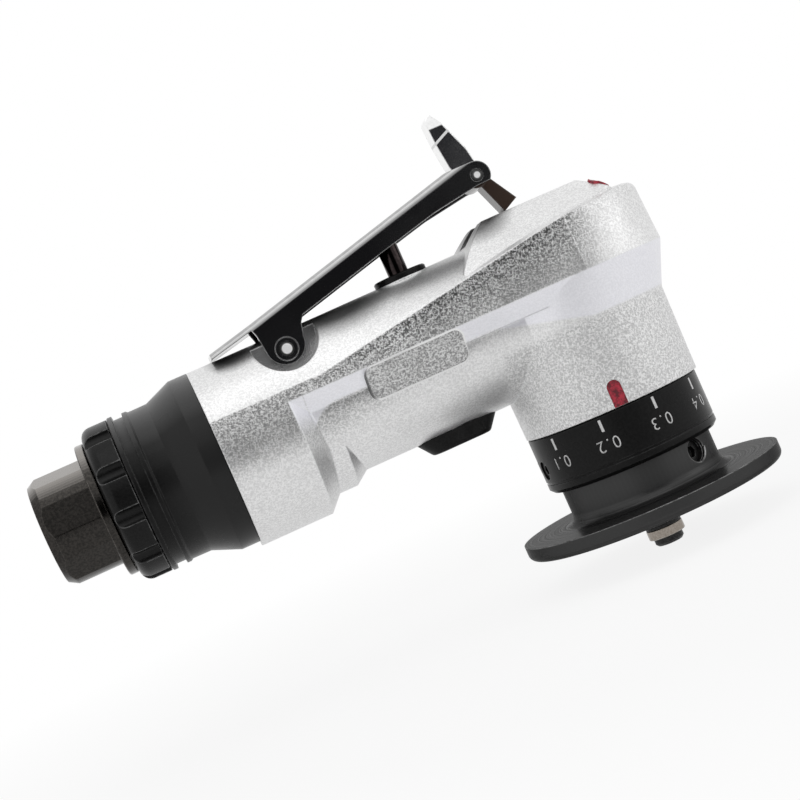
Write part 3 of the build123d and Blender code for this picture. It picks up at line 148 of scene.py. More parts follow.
def colour_ramp(tree, x, y, share, stops):
    """Colour that a share picks between stops of (position, colour)."""
    made = add_node(tree, "ShaderNodeValToRGB", x, y, Fac=share)
    ramp = made.color_ramp
    while len(ramp.elements) < len(stops):
        ramp.elements.new(0.5)
    for element, (position, colour) in zip(ramp.elements, stops):
        element.position = position
        element.color = colour
    return made.outputs["Color"]


# The two inputs and the output of a mix node that serve each kind of value
MIX_SOCKETS = {"FLOAT": (2, 3, 0), "RGBA": (6, 7, 2)}


def mixed(tree, x, y, share, first, second, kind="RGBA"):
    """Two colours or two numbers, mixed by a share."""
    made = add_node(tree, "ShaderNodeMix", x, y, data_type=kind)
    low, high, result = MIX_SOCKETS[kind]
    for row, value in ((0, share), (low, first), (high, second)):
        give(tree, made.inputs[row], value)
    return made.outputs[result]


def shader_mix(tree, x, y, share, first, second):
    """Two shaders, mixed by a share."""
    made = add_node(tree, "ShaderNodeMixShader", x, y)
    for socket, value in zip(made.inputs, (share, first.outputs[0], second.outputs[0])):
        give(tree, socket, value)
    return made.outputs[0]


def object_place(tree, x, y):
    """Place on the piece, in the part's frame."""
    return add_node(tree, "ShaderNodeTexCoord", x, y).outputs["Object"]


def axes_of(tree, x, y, vector):
    """X, Y and Z of a vector."""
    return add_node(tree, "ShaderNodeSeparateXYZ", x, y, Vector=vector).outputs


def facing_axes(tree, x, y, normal):
    """X, Y and Z of the way a surface faces, by its Normal or its True Normal."""
    surface = add_node(tree, "ShaderNodeNewGeometry", x, y)
    return axes_of(tree, x + 200, y, surface.outputs[normal])


# Shared effects

# Parts of a noise's range that are used
NOISE_RANGE = (0.3, 0.7)
STREAK_RANGE = (0.4, 0.74)
SHADE_RANGE = (0.25, 0.75)
BREAKUP_RANGE = (0.35, 0.62)
BLOTCH_RANGE = (0.38, 0.64)

# The casting's streaks: their turns round Y in degrees, and their length for their width
STREAK_TURNS = (22.0, -68.0)
STREAK_STRETCH = 1.8

# Cosines of the turn at an edge where wear is full and where there is none, and the least share of it
# that the breakup leaves
EDGE_TURN = (0.86, 0.99)
LEAST_WEAR = 0.15


def make_cast_grain():
    """Grain of a blasted casting: two crossed sets of short random streaks, mixed with a fine noise."""
    outputs = {"Height": "NodeSocketFloat", "Shade": "NodeSocketFloat"}
    tree, start, end = new_group("cast_grain", {"Size mm": 1.0, "Crossed share": 0.5}, outputs)
    place = object_place(tree, -1100, 300)
    pitch = number_math(tree, -900, 0, "DIVIDE", MM_PER_M, start.outputs["Size mm"])
    fine = noise(tree, -350, 300, place, pitch, detail=3.0, roughness=0.65)
    streaks = []
    for turn, y in zip(STREAK_TURNS, (0, -300)):
        tilt = add_node(tree, "ShaderNodeMapping", -650, y, vector_type="TEXTURE", Vector=place)
        feed(tree, tilt, Rotation=(0.0, radians(turn), 0.0), Scale=(STREAK_STRETCH, 1.0, 1.0))
        streaks.append(noise(tree, -350, y, tilt.outputs["Vector"], pitch, detail=1.0, roughness=0.5))
    upper = number_math(tree, -100, -100, "MAXIMUM", *streaks)
    crossed = carried(tree, 0, -100, upper, 0.0, 1.0, *STREAK_RANGE)
    patchy = carried(tree, -100, 250, fine, 0.0, 1.0, *NOISE_RANGE)
    height = mixed(tree, 150, 100, start.outputs["Crossed share"], patchy, crossed, kind="FLOAT")
    shade = carried(tree, 350, -150, height, 0.0, 1.0, *SHADE_RANGE)
    feed(tree, end, Height=height, Shade=shade)
    return tree


def make_edge_wear():
    """Mask that is 1 along edges, broken up by noise, and the normal of the edge when it is rounded."""
    outputs = {"Wear": "NodeSocketFloat", "Rounded": "NodeSocketVector"}
    tree, start, end = new_group("edge_wear", {"Width mm": 0.6, "Breakup mm": 1.5}, outputs)
    width = number_math(tree, -700, 0, "MULTIPLY", start.outputs["Width mm"], MM)
    rounded = add_node(tree, "ShaderNodeBevel", -500, 0, samples=6, Radius=width).outputs["Normal"]
    surface = add_node(tree, "ShaderNodeNewGeometry", -500, -250)
    turn = vector_math(tree, -300, 0, "DOT_PRODUCT", rounded, surface.outputs["Normal"])
    edge = carried(tree, -100, 0, turn, 1.0, 0.0, *EDGE_TURN)
    pitch = number_math(tree, -700, 300, "DIVIDE", MM_PER_M, start.outputs["Breakup mm"])
    place = object_place(tree, -900, 300)
    patch = noise(tree, -300, 300, place, pitch, detail=4.0, roughness=0.65)
    broken = carried(tree, -100, 300, patch, LEAST_WEAR, 1.0, *BREAKUP_RANGE)
    feed(tree, end, Wear=number_math(tree, 300, 100, "MULTIPLY", edge, broken), Rounded=rounded)
    return tree


def make_handling():
    """Soft blotches left by handling and oil."""
    tree, start, end = new_group("handling", {"Blotch mm": 14.0}, {"Blotch": "NodeSocketFloat"})
    pitch = number_math(tree, -650, 0, "DIVIDE", MM_PER_M, start.outputs["Blotch mm"])
    place = object_place(tree, -900, 300)
    spread = noise(tree, -350, 0, place, pitch, detail=2.0, roughness=0.6)
    feed(tree, end, Blotch=carried(tree, 0, 0, spread, 0.0, 1.0, *BLOTCH_RANGE))
    return tree


cast_grain = make_cast_grain()
edge_wear = make_edge_wear()
handling = make_handling()


# The casting's finish

# The housing's crease: its height over the origin, its slope and its level at the rear
CREASE_Z = 0.0659
CREASE_SLOPE = 0.165
CREASE_REAR_Z = 0.0565

# The coarse wall under the crease, its darker colour a painted shade: the blur at the crease, the depths
# between which it fades to its foot, and where along the tool it fades at the nose and at the rear, with the
# share that is left there
WALL_EDGE = (-0.0001, 0.0002)
WALL_FOOT = (0.001, 0.014)
WALL_NOSE_X = (0.0, 0.008)
WALL_NOSE_SHARE = 0.15
WALL_REAR_X = (-0.075, -0.05)
WALL_REAR_SHARE = 0.92

# Where the wall takes a painted shade towards the rear, and by what share
REAR_SHADE_X = (-0.057, -0.04)
REAR_SHADE_SHARE = 0.42

# The raised pad on the near side, its face in painted shade and its rim a painted highlight: its middle, half
# its size without the round, the round of its corners, half the width of its rim, and where the rim changes
# from its painted dark end to its bright rest
PAD_MIDDLE = (-0.038, 0.0, 0.0502)
PAD_HALF = (0.0091, 1.0, 0.0016)
PAD_ROUND = 0.002
PAD_RIM = 0.0002
PAD_RIM_X = (-0.0489, -0.0479)

# The smooth bevel over the grip, lighter and bluer than the casting in a painted sheen: its top, its foot
# along the grip and round the head with the stretch between them, where it starts, and where and how far its
# foot arches down there
BAND_TOP_Z = 0.054
BAND_LOW_Z = 0.0502
BAND_HEAD_LOW_Z = 0.0445
BAND_HEAD_X = (-0.02, 0.0)
BAND_REAR_X = -0.0626
BAND_ARCH_X = -0.0566
BAND_ARCH_DROP = 0.0035

# The step behind the bevel, which takes the bevel's painted sheen fading downwards, and the blur of their
# edges:
# before each edge, and past the foot, the top and the rear
STEP_REAR_X = -0.0657
STEP_LOW_Z = 0.046
BLUR = 0.0002
BLUR_FOOT = 0.0004
BLUR_TOP = 0.0001
BLUR_REAR = 0.0003

# The matt foot of the head: where it ends upwards, where it starts along the tool, and how matt it is
MATT_Z = (0.0435, 0.045)
MATT_X = (-0.0215, -0.0195)
MATT_SHARE = 0.2

# The machined pockets beside the lever's pivot, greyer in a painted shade, and how much smoother they are
POCKET_MIDDLE = (-0.06072, 0.0, 0.0669)
POCKET_R = 0.00745
POCKET_HALF_Y = 0.0082
POCKET_POLISH = 0.16

# Painted shade of the levers on the housing, as dark spots by their middle and their reach: under the lever's
# tail, beside its pivot and under the lock lever; the share of each reach that is dark all over; and how
# strongly
LEVER_SHADE_SPOTS = (
    ((-0.0722, 0.0, 0.0685), (0.0066, 0.06, 0.0044)),
    ((-0.0475, 0.0, 0.069), (0.0135, 0.06, 0.0072)),
    ((-0.0135, 0.0, 0.0735), (0.0095, 0.06, 0.0062)),
)
LEVER_SHADE_CORE = 0.45
LEVER_SHADE_SHARE = (0.75, 0.9)

# Colours of the casting, from the grain's hollows to its tops, of its worn places, and of its painted shade,
# sheen and highlights
PALE_SKIN = ((0.0, grey(0.72)), (1.0, grey(0.92)))
COARSE_SHADED_SKIN = ((0.0, grey(0.1)), (0.5, grey(0.5)), (1.0, grey(0.95)))
SMOOTH_SHEEN_SKIN = ((0.0, rgb(0.86, 0.86, 0.9)), (1.0, rgb(0.93, 0.93, 0.97)))
PAD_SHADED_SKIN = ((0.0, grey(0.28)), (0.5, grey(0.52)), (1.0, grey(0.74)))
RIM_PAINTED_LIGHT = ((0.0, grey(0.2)), (1.0, grey(0.94)))
REAR_SHADE_GREY = grey(0.3)
EDGE_GREY = grey(0.94)
POCKET_SHADE_GREY = grey(0.66)
LEVER_SHADE_GREY = grey(0.05)

# The casting's roughness, its relief off and on the wall with the relief's depth, and how metallic it is
CAST_ROUGH = (0.36, 0.46)
CAST_RELIEF = (0.35, 1.0)
CAST_RELIEF_MM = 0.05
CAST_METALLIC = 0.8


def distance_to(tree, y, place, middle):
    """Distance from an axis that runs along Y through a point."""
    away = vector_math(tree, -1700, y, "SUBTRACT", place, middle)
    flat = vector_math(tree, -1550, y, "MULTIPLY", away, (1.0, 0.0, 1.0))
    return vector_math(tree, -1400, y, "LENGTH", flat)


def relief(tree, height, rounded, depth_mm, strength=1.0):
    """Normal of a fine relief over rounded edges."""
    made = add_node(tree, "ShaderNodeBump", 200, -350, Height=height, Normal=rounded)
    feed(tree, made, Distance=depth_mm * MM, Strength=strength)
    return made.outputs["Normal"]


def coarse_shaded_wall(tree, along, height):
    """1 on the coarse wall under the housing's crease, which takes a painted shade, less towards its foot and
    ends, and 0 elsewhere.
    """
    rise = number_math(tree, -1700, 800, "MULTIPLY_ADD", along, CREASE_SLOPE, CREASE_Z)
    crease = number_math(tree, -1550, 800, "MAXIMUM", rise, CREASE_REAR_Z)
    depth = number_math(tree, -1400, 800, "SUBTRACT", crease, height)
    under_crease = carried(tree, -1200, 900, depth, 0.0, 1.0, *WALL_EDGE)
    towards_foot = carried(tree, -1200, 600, depth, 1.0, 0.0, *WALL_FOOT)
    towards_nose = carried(tree, -1200, 300, along, 1.0, WALL_NOSE_SHARE, *WALL_NOSE_X)
    towards_rear = carried(tree, -1200, 0, along, WALL_REAR_SHARE, 1.0, *WALL_REAR_X)
    upper = number_math(tree, -1000, 800, "MULTIPLY", under_crease, towards_foot)
    ends = number_math(tree, -1000, 300, "MULTIPLY", towards_nose, towards_rear)
    return number_math(tree, -850, 700, "MULTIPLY", upper, ends)


def raised_pad(tree, place, across):
    """Two masks of the raised pad on the near side: its face, and the rim round it."""
    away = vector_math(tree, -1700, -300, "SUBTRACT", place, PAD_MIDDLE)
    spread = vector_math(tree, -1550, -300, "ABSOLUTE", away)
    beyond = vector_math(tree, -1400, -300, "SUBTRACT", spread, PAD_HALF)
    outside = vector_math(tree, -1250, -300, "MAXIMUM", beyond, (0.0, 0.0, 0.0))
    reach = vector_math(tree, -1100, -300, "LENGTH", outside)
    near = number_math(tree, -950, -450, "LESS_THAN", across, 0.0)
    inside = number_math(tree, -950, -300, "LESS_THAN", reach, PAD_ROUND)
    edge = number_math(tree, -950, -600, "COMPARE", reach, PAD_ROUND, PAD_RIM)
    face = number_math(tree, -800, -300, "MULTIPLY", inside, near)
    rim = number_math(tree, -800, -600, "MULTIPLY", edge, near)
    return face, rim


def bevel_band(tree, along, height):
    """1 on the smooth bevel over the grip, which widens round the head and arches down to the step."""
    straight = carried(tree, -1900, 1400, along, BAND_LOW_Z, BAND_HEAD_LOW_Z, *BAND_HEAD_X)
    rearward = carried(tree, -2100, 1700, along, 1.0, 0.0, BAND_REAR_X, BAND_ARCH_X)
    arch = number_math(tree, -1900, 1700, "POWER", rearward, 2.0)
    drop = number_math(tree, -1800, 1600, "MULTIPLY", arch, BAND_ARCH_DROP)
    foot = number_math(tree, -1700, 1400, "SUBTRACT", straight, drop)
    over = number_math(tree, -1500, 1400, "SUBTRACT", height, foot)
    above_foot = carried(tree, -1300, 1500, over, 0.0, 1.0, -BLUR, BLUR_FOOT)
    under_top = carried(tree, -1300, 1200, height, 1.0, 0.0, BAND_TOP_Z - BLUR, BAND_TOP_Z + BLUR_TOP)
    ahead = carried(tree, -1300, 1800, along, 0.0, 1.0, BAND_REAR_X - BLUR, BAND_REAR_X + BLUR_REAR)
    band = number_math(tree, -1100, 1400, "MULTIPLY", above_foot, ahead)
    past_step = carried(tree, -1500, 2100, along, 0.0, 1.0, STEP_REAR_X - BLUR, STEP_REAR_X)
    on_step = number_math(tree, -1300, 2100, "SUBTRACT", past_step, ahead)
    climb = carried(tree, -1300, 2400, height, 0.0, 1.0, STEP_LOW_Z, BAND_LOW_Z)
    step = number_math(tree, -1100, 2100, "MULTIPLY", on_step, climb)
    either = number_math(tree, -950, 1700, "MAXIMUM", band, step)
    return number_math(tree, -800, 1400, "MULTIPLY", either, under_top)


def pocket_floor(tree, place, across):
    """1 in the machined pockets beside the lever's pivot, and 0 elsewhere."""
    reach = distance_to(tree, -900, place, POCKET_MIDDLE)
    inside = number_math(tree, -1200, -900, "LESS_THAN", reach, POCKET_R)
    spread = number_math(tree, -1400, -1100, "ABSOLUTE", across)
    sunk = number_math(tree, -1200, -1100, "LESS_THAN", spread, POCKET_HALF_Y)
    return number_math(tree, -1000, -900, "MULTIPLY", inside, sunk)


def matt_head(tree, along, height):
    """How matt the casting is: a share at the foot of the head, and 0 elsewhere."""
    low = carried(tree, -800, -1300, height, MATT_SHARE, 0.0, *MATT_Z)
    ahead = carried(tree, -800, -1600, along, 0.0, 1.0, *MATT_X)
    return number_math(tree, -600, -1400, "MULTIPLY", low, ahead)


def painted_lever_shade(tree, place):
    """1 in the middle of each spot of painted shade under the levers, fading to 0 at its reach."""
    total = 0.0
    for row, (middle, reach) in enumerate(LEVER_SHADE_SPOTS):
        y = 2800 + 300 * row
        away = vector_math(tree, -1700, y, "SUBTRACT", place, middle)
        scaled = vector_math(tree, -1550, y, "DIVIDE", away, reach)
        length = vector_math(tree, -1400, y, "LENGTH", scaled)
        spot = carried(tree, -1250, y, length, 1.0, 0.0, LEVER_SHADE_CORE, 1.0)
        total = number_math(tree, -1050, y, "MAXIMUM", spot, total)
    return total


def cast_silver():
    """Silver casting: coarse wall, raised pad and machined pockets in painted shade, smooth bevel in a
    painted sheen, painted highlight on the pad's rim, painted shade under the levers, fine grain elsewhere.
    """
    made, tree, shader = new_material("cast_silver")
    grain = place_group(tree, cast_grain, -900, 200, Size_mm=0.34, Crossed_share=0.75).outputs
    touch = place_group(tree, handling, -900, -150).outputs["Blotch"]
    wear = place_group(tree, edge_wear, -900, -450, Width_mm=0.45).outputs
    place = object_place(tree, -2000, 700)
    along, across, height = axes_of(tree, -1850, 700, place)
    band = bevel_band(tree, along, height)
    off_band = number_math(tree, -800, 1200, "SUBTRACT", 1.0, band)
    wall = number_math(tree, -700, 1000, "MULTIPLY", coarse_shaded_wall(tree, along, height), off_band)
    pad, rim = raised_pad(tree, place, across)
    pocket = pocket_floor(tree, place, across)
    matt = matt_head(tree, along, height)

    pale = colour_ramp(tree, -650, 400, grain["Shade"], PALE_SKIN)
    coarse = colour_ramp(tree, -650, 150, grain["Shade"], COARSE_SHADED_SKIN)
    smooth = colour_ramp(tree, -650, 650, grain["Shade"], SMOOTH_SHEEN_SKIN)
    # Painted shade on the pad's face, and a painted highlight on its rim with a dark rear end
    pad_shaded_face = colour_ramp(tree, -650, -100, grain["Shade"], PAD_SHADED_SKIN)
    from_end = carried(tree, -800, -700, along, 0.0, 1.0, *PAD_RIM_X)
    pad_rim_light = colour_ramp(tree, -650, -700, from_end, RIM_PAINTED_LIGHT)
    grained = number_math(tree, -450, 500, "MAXIMUM", wall, matt)
    # The coarse wall's darker colours are a painted shade besides its coarser grain
    sides = mixed(tree, -350, 300, grained, pale, coarse)
    # Painted shade, greyer towards the rear of the wall
    rear_shade_amount = carried(tree, -450, 800, along, REAR_SHADE_SHARE, 0.0, *REAR_SHADE_X)
    rear = number_math(tree, -350, 800, "MULTIPLY", wall, rear_shade_amount)
    rear_shaded = mixed(tree, -300, 450, rear, sides, REAR_SHADE_GREY)
    # Painted sheen on the bevel and on the step behind it
    banded = mixed(tree, -250, 450, band, rear_shaded, smooth)
    padded = mixed(tree, -150, 300, pad, banded, pad_shaded_face)
    rubbed = mixed(tree, 0, 200, wear["Wear"], padded, EDGE_GREY)
    rim_lit = mixed(tree, 150, 200, rim, rubbed, pad_rim_light)
    # Painted shade in the pockets
    before_lever_shade = mixed(tree, 300, 200, pocket, rim_lit, POCKET_SHADE_GREY)
    patchy = carried(tree, 100, 700, touch, *LEVER_SHADE_SHARE)
    # Painted shade under the levers, broken up by the handling blotches
    lever_shaded = number_math(tree, 300, 700, "MULTIPLY", painted_lever_shade(tree, place), patchy)
    colour = mixed(tree, 400, 400, lever_shaded, before_lever_shade, LEVER_SHADE_GREY)

    uneven = carried(tree, -400, -150, touch, *CAST_ROUGH)
    rough = number_math(tree, -200, -150, "ADD", uneven, matt)
    machined = number_math(tree, -200, -1000, "MULTIPLY", pocket, -POCKET_POLISH)
    roughness = number_math(tree, 0, -150, "ADD", rough, machined)
    strength = carried(tree, -200, -450, wall, *CAST_RELIEF)
    normal = relief(tree, grain["Height"], wear["Rounded"], CAST_RELIEF_MM, strength)
    feed(tree, shader, Base_Color=colour, Roughness=roughness, Normal=normal, Metallic=CAST_METALLIC)
    return made


# The other finishes

# The turned plate: its rings in a metre with their depth, its blacks, its worn edge lit by a painted
# highlight, roughness and shine
PLATE_RINGS = 1700.0
PLATE_RELIEF_MM = 0.0025
PLATE_SKIN = ((0.0, grey(0.03)), (1.0, grey(0.08)))
PLATE_EDGE_HIGHLIGHT = grey(0.4)
PLATE_ROUGH = (0.24, 0.38)
PLATE_METALLIC = 0.65
PLATE_SHINE = 0.13
PLATE_TINT = grey(0.2)

# The levers' pins: their places, the radii where the painted highlight in the middle ends and the painted
# shade round it starts, and the shade's grey
LEVER_PIN_PLACE = (-0.06072, 0.0, 0.06444)
LEVER_PIN_GLINT = (0.001, 0.0012)
LOCK_PIN_PLACE = (-0.00828, 0.0, 0.08211)
LOCK_PIN_GLINT = (0.0006, 0.0008)
PIN_SHADE_GREY = grey(0.03)

# Heights where the lock lever's brown root ends and its bright arm starts, the brown, and how metallic it is
LOCK_ROOT_Z = (0.0805, 0.083)
LOCK_ROOT_BROWN = rgb(0.06, 0.04, 0.031)
LOCK_ROOT_METALLIC = 0.1

# The painted highlight across the lock lever's arm, a pale stripe: its height over the origin, slope, half
# width and grey
ARM_GLINT_Z = 0.09816
ARM_GLINT_SLOPE = 0.466
ARM_GLINT_HALF = 0.00032
ARM_GLINT_GREY = grey(0.93)

# Where the exhaust collar's neck ends and its flare starts, and the flare's grey, a painted sheen
COLLAR_FLARE_X = (-0.097, -0.091)
COLLAR_FLARE_SHEEN = grey(0.02)

# How far surfaces face up, down or aside where they take a painted highlight or painted shade, as the ends of
# each change, and the colours that they turn to
COLLAR_UP = (0.5, 0.9)
COLLAR_TOP_HIGHLIGHT = grey(0.11)
INLET_UP = (0.6, 0.8)
INLET_TOP_HIGHLIGHT = grey(0.27, 0.06)
LEVER_DOWN = (-0.5, -0.3)
LEVER_UNDERSIDE_SHADE = grey(0.02)
LEVER_ASIDE = (0.75, 0.9)
LEVER_SIDE_SHADE = grey(0.3)


def grained_finish(name, dark, light, worn, rough, metallic, grain_mm, bump_mm, wear_mm, coat=0.0, shine=0.5):
    """Finish with grained colour, uneven roughness, rubbed edges and a fine relief."""
    made, tree, shader = new_material(name)
    grain = place_group(tree, cast_grain, -700, 200, Size_mm=grain_mm, Crossed_share=0.0).outputs
    touch = place_group(tree, handling, -700, -150).outputs["Blotch"]
    wear = place_group(tree, edge_wear, -700, -450, Width_mm=wear_mm).outputs
    skin = colour_ramp(tree, -450, 250, grain["Shade"], ((0.0, dark), (1.0, light)))
    rubbed = mixed(tree, 0, 200, wear["Wear"], skin, worn)
    uneven = carried(tree, -200, -150, touch, *rough)
    normal = relief(tree, grain["Height"], wear["Rounded"], bump_mm)
    feed(tree, shader, Base_Color=rubbed, Roughness=uneven, Normal=normal, Metallic=metallic)
    feed(tree, shader, Specular_IOR_Level=shine, Coat_Weight=coat, Coat_Roughness=0.2)
    return made


def finish_parts(made):
    """A finish's tree and shader, and the output that gives its colour."""
    tree = made.node_tree
    shader = next(node for node in tree.nodes if node.type == "BSDF_PRINCIPLED")
    return tree, shader, shader.inputs["Base Color"].links[0].from_socket


def turned_black():
    """Blackened plate with the fine rings that turning leaves round its axis."""
    made, tree, shader = new_material("turned_black")
    flat = vector_math(tree, -1100, 100, "MULTIPLY", object_place(tree, -1300, 100), (1.0, 1.0, 0.0))
    radius = vector_math(tree, -900, 100, "LENGTH", flat)
    rings = add_node(tree, "ShaderNodeTexNoise", -700, 100, noise_dimensions="1D", W=radius)
    feed(tree, rings, Scale=PLATE_RINGS, Detail=4.0, Roughness=0.7)
    sharper = carried(tree, -500, 100, rings.outputs["Fac"], 0.0, 1.0, *NOISE_RANGE)
    wear = place_group(tree, edge_wear, -700, -450, Width_mm=0.4).outputs
    skin = colour_ramp(tree, -250, 250, sharper, PLATE_SKIN)
    # Painted highlight along the plate's worn edge
    rubbed = mixed(tree, 50, 200, wear["Wear"], skin, PLATE_EDGE_HIGHLIGHT)
    rough = carried(tree, -250, -100, sharper, *PLATE_ROUGH)
    normal = relief(tree, sharper, wear["Rounded"], PLATE_RELIEF_MM)
    feed(tree, shader, Base_Color=rubbed, Roughness=rough, Normal=normal, Metallic=PLATE_METALLIC)
    feed(tree, shader, Specular_IOR_Level=PLATE_SHINE, Specular_Tint=PLATE_TINT)
    return made


def plated_sheet():
    """Bright plating of the throttle lever, greyer on its sides and dark on its underside in painted shade.
    """
    made = grained_finish(
        "bright_chrome", dark=grey(0.42), light=grey(0.48), worn=grey(0.7), rough=(0.08, 0.16), metallic=1.0,
        grain_mm=1.2, bump_mm=0.002, wear_mm=0.3
    )
    tree, shader, plating = finish_parts(made)
    facing = facing_axes(tree, -300, 600, "True Normal")
    # Painted shade on the lever's underside and on its sides
    under = carried(tree, 100, 600, facing["Z"], 1.0, 0.0, *LEVER_DOWN)
    across = number_math(tree, -100, 800, "ABSOLUTE", facing["Y"])
    side_shade_share = carried(tree, 100, 800, across, 0.0, 1.0, *LEVER_ASIDE)
    sides = mixed(tree, 250, 600, side_shade_share, plating, LEVER_SIDE_SHADE)
    feed(tree, shader, Base_Color=mixed(tree, 350, 400, under, sides, LEVER_UNDERSIDE_SHADE))
    return made


def smoked_sheet():
    """Plating of the lock lever: bright on its arm, with a painted highlight across it, and browned at its
    root.
    """
    made = grained_finish(
        "smoked_chrome", dark=grey(0.86), light=grey(0.93), worn=grey(0.95), rough=(0.08, 0.16), metallic=1.0,
        grain_mm=1.0, bump_mm=0.003, wear_mm=0.4
    )
    tree, shader, plating = finish_parts(made)
    place = axes_of(tree, -500, 700, object_place(tree, -700, 700))
    root = carried(tree, -300, 700, place["Z"], 1.0, 0.0, *LOCK_ROOT_Z)
    slanted = number_math(tree, -300, 1000, "MULTIPLY_ADD", place["X"], -ARM_GLINT_SLOPE, place["Z"])
    # Painted highlight: a pale matt stripe across the arm
    arm_glint = number_math(tree, -100, 1000, "COMPARE", slanted, ARM_GLINT_Z, ARM_GLINT_HALF)
    browned = mixed(tree, 150, 450, root, plating, LOCK_ROOT_BROWN)
    plain = carried(tree, 0, 700, root, 1.0, LOCK_ROOT_METALLIC)
    polished = number_math(tree, 150, 800, "SUBTRACT", plain, arm_glint)
    metallic = number_math(tree, 300, 800, "MAXIMUM", polished, 0.0)
    feed(tree, shader, Base_Color=mixed(tree, 300, 450, arm_glint, browned, ARM_GLINT_GREY), Metallic=metallic)
    return made


def pin_with_painted_glint(name, middle, glint_radii):
    """Pin end with a painted highlight in its middle and painted shade round it."""
    made = grained_finish(
        name, dark=grey(0.93), light=grey(0.97), worn=grey(0.3), rough=(0.25, 0.36), metallic=0.1,
        grain_mm=0.4, bump_mm=0.003, wear_mm=0.2
    )
    tree, shader, steel = finish_parts(made)
    radius = distance_to(tree, 700, object_place(tree, -1900, 700), middle)
    # Painted highlight in the pin's middle, painted shade round it
    ring = carried(tree, -200, 700, radius, 0.0, 1.0, *glint_radii)
    feed(tree, shader, Base_Color=mixed(tree, 250, 450, ring, steel, PIN_SHADE_GREY))
    return made


def collar_black():
    """Satin black of the exhaust collar, with a greyer painted sheen on its flare and a painted highlight on
    top.
    """
    made = grained_finish(
        "collar_black", dark=grey(0.004), light=grey(0.007), worn=grey(0.08), rough=(0.24, 0.36),
        metallic=0.0, grain_mm=0.5, bump_mm=0.005, wear_mm=0.35, shine=0.16
    )
    tree, shader, black = finish_parts(made)
    place = axes_of(tree, -500, 700, object_place(tree, -700, 700))
    # Painted sheen on the flare
    flare = carried(tree, -300, 700, place["X"], 0.0, 1.0, *COLLAR_FLARE_X)
    rubbed = mixed(tree, 100, 450, flare, black, COLLAR_FLARE_SHEEN)
    # Painted highlight on surfaces that face up
    facing = facing_axes(tree, -700, 1000, "Normal")
    painted_top_light = carried(tree, -300, 1000, facing["Z"], 0.0, 1.0, *COLLAR_UP)
    feed(tree, shader, Base_Color=mixed(tree, 250, 450, painted_top_light, rubbed, COLLAR_TOP_HIGHLIGHT))
    return made


def browned_flats():
    """Browned steel of the air inlet, with a painted highlight on the flats that face up."""
    made = grained_finish(
        "browned_steel", dark=grey(0.026, 0.06), light=grey(0.044, 0.08), worn=grey(0.2, 0.08),
        rough=(0.16, 0.26), metallic=1.0, grain_mm=0.5, bump_mm=0.003, wear_mm=0.4
    )
    tree, shader, brown = finish_parts(made)
    facing = facing_axes(tree, -500, 700, "True Normal")
    # Painted highlight on the flats that face up
    painted_top_light = carried(tree, -100, 700, facing["Z"], 0.0, 1.0, *INLET_UP)
    feed(tree, shader, Base_Color=mixed(tree, 250, 450, painted_top_light, brown, INLET_TOP_HIGHLIGHT))
    return made


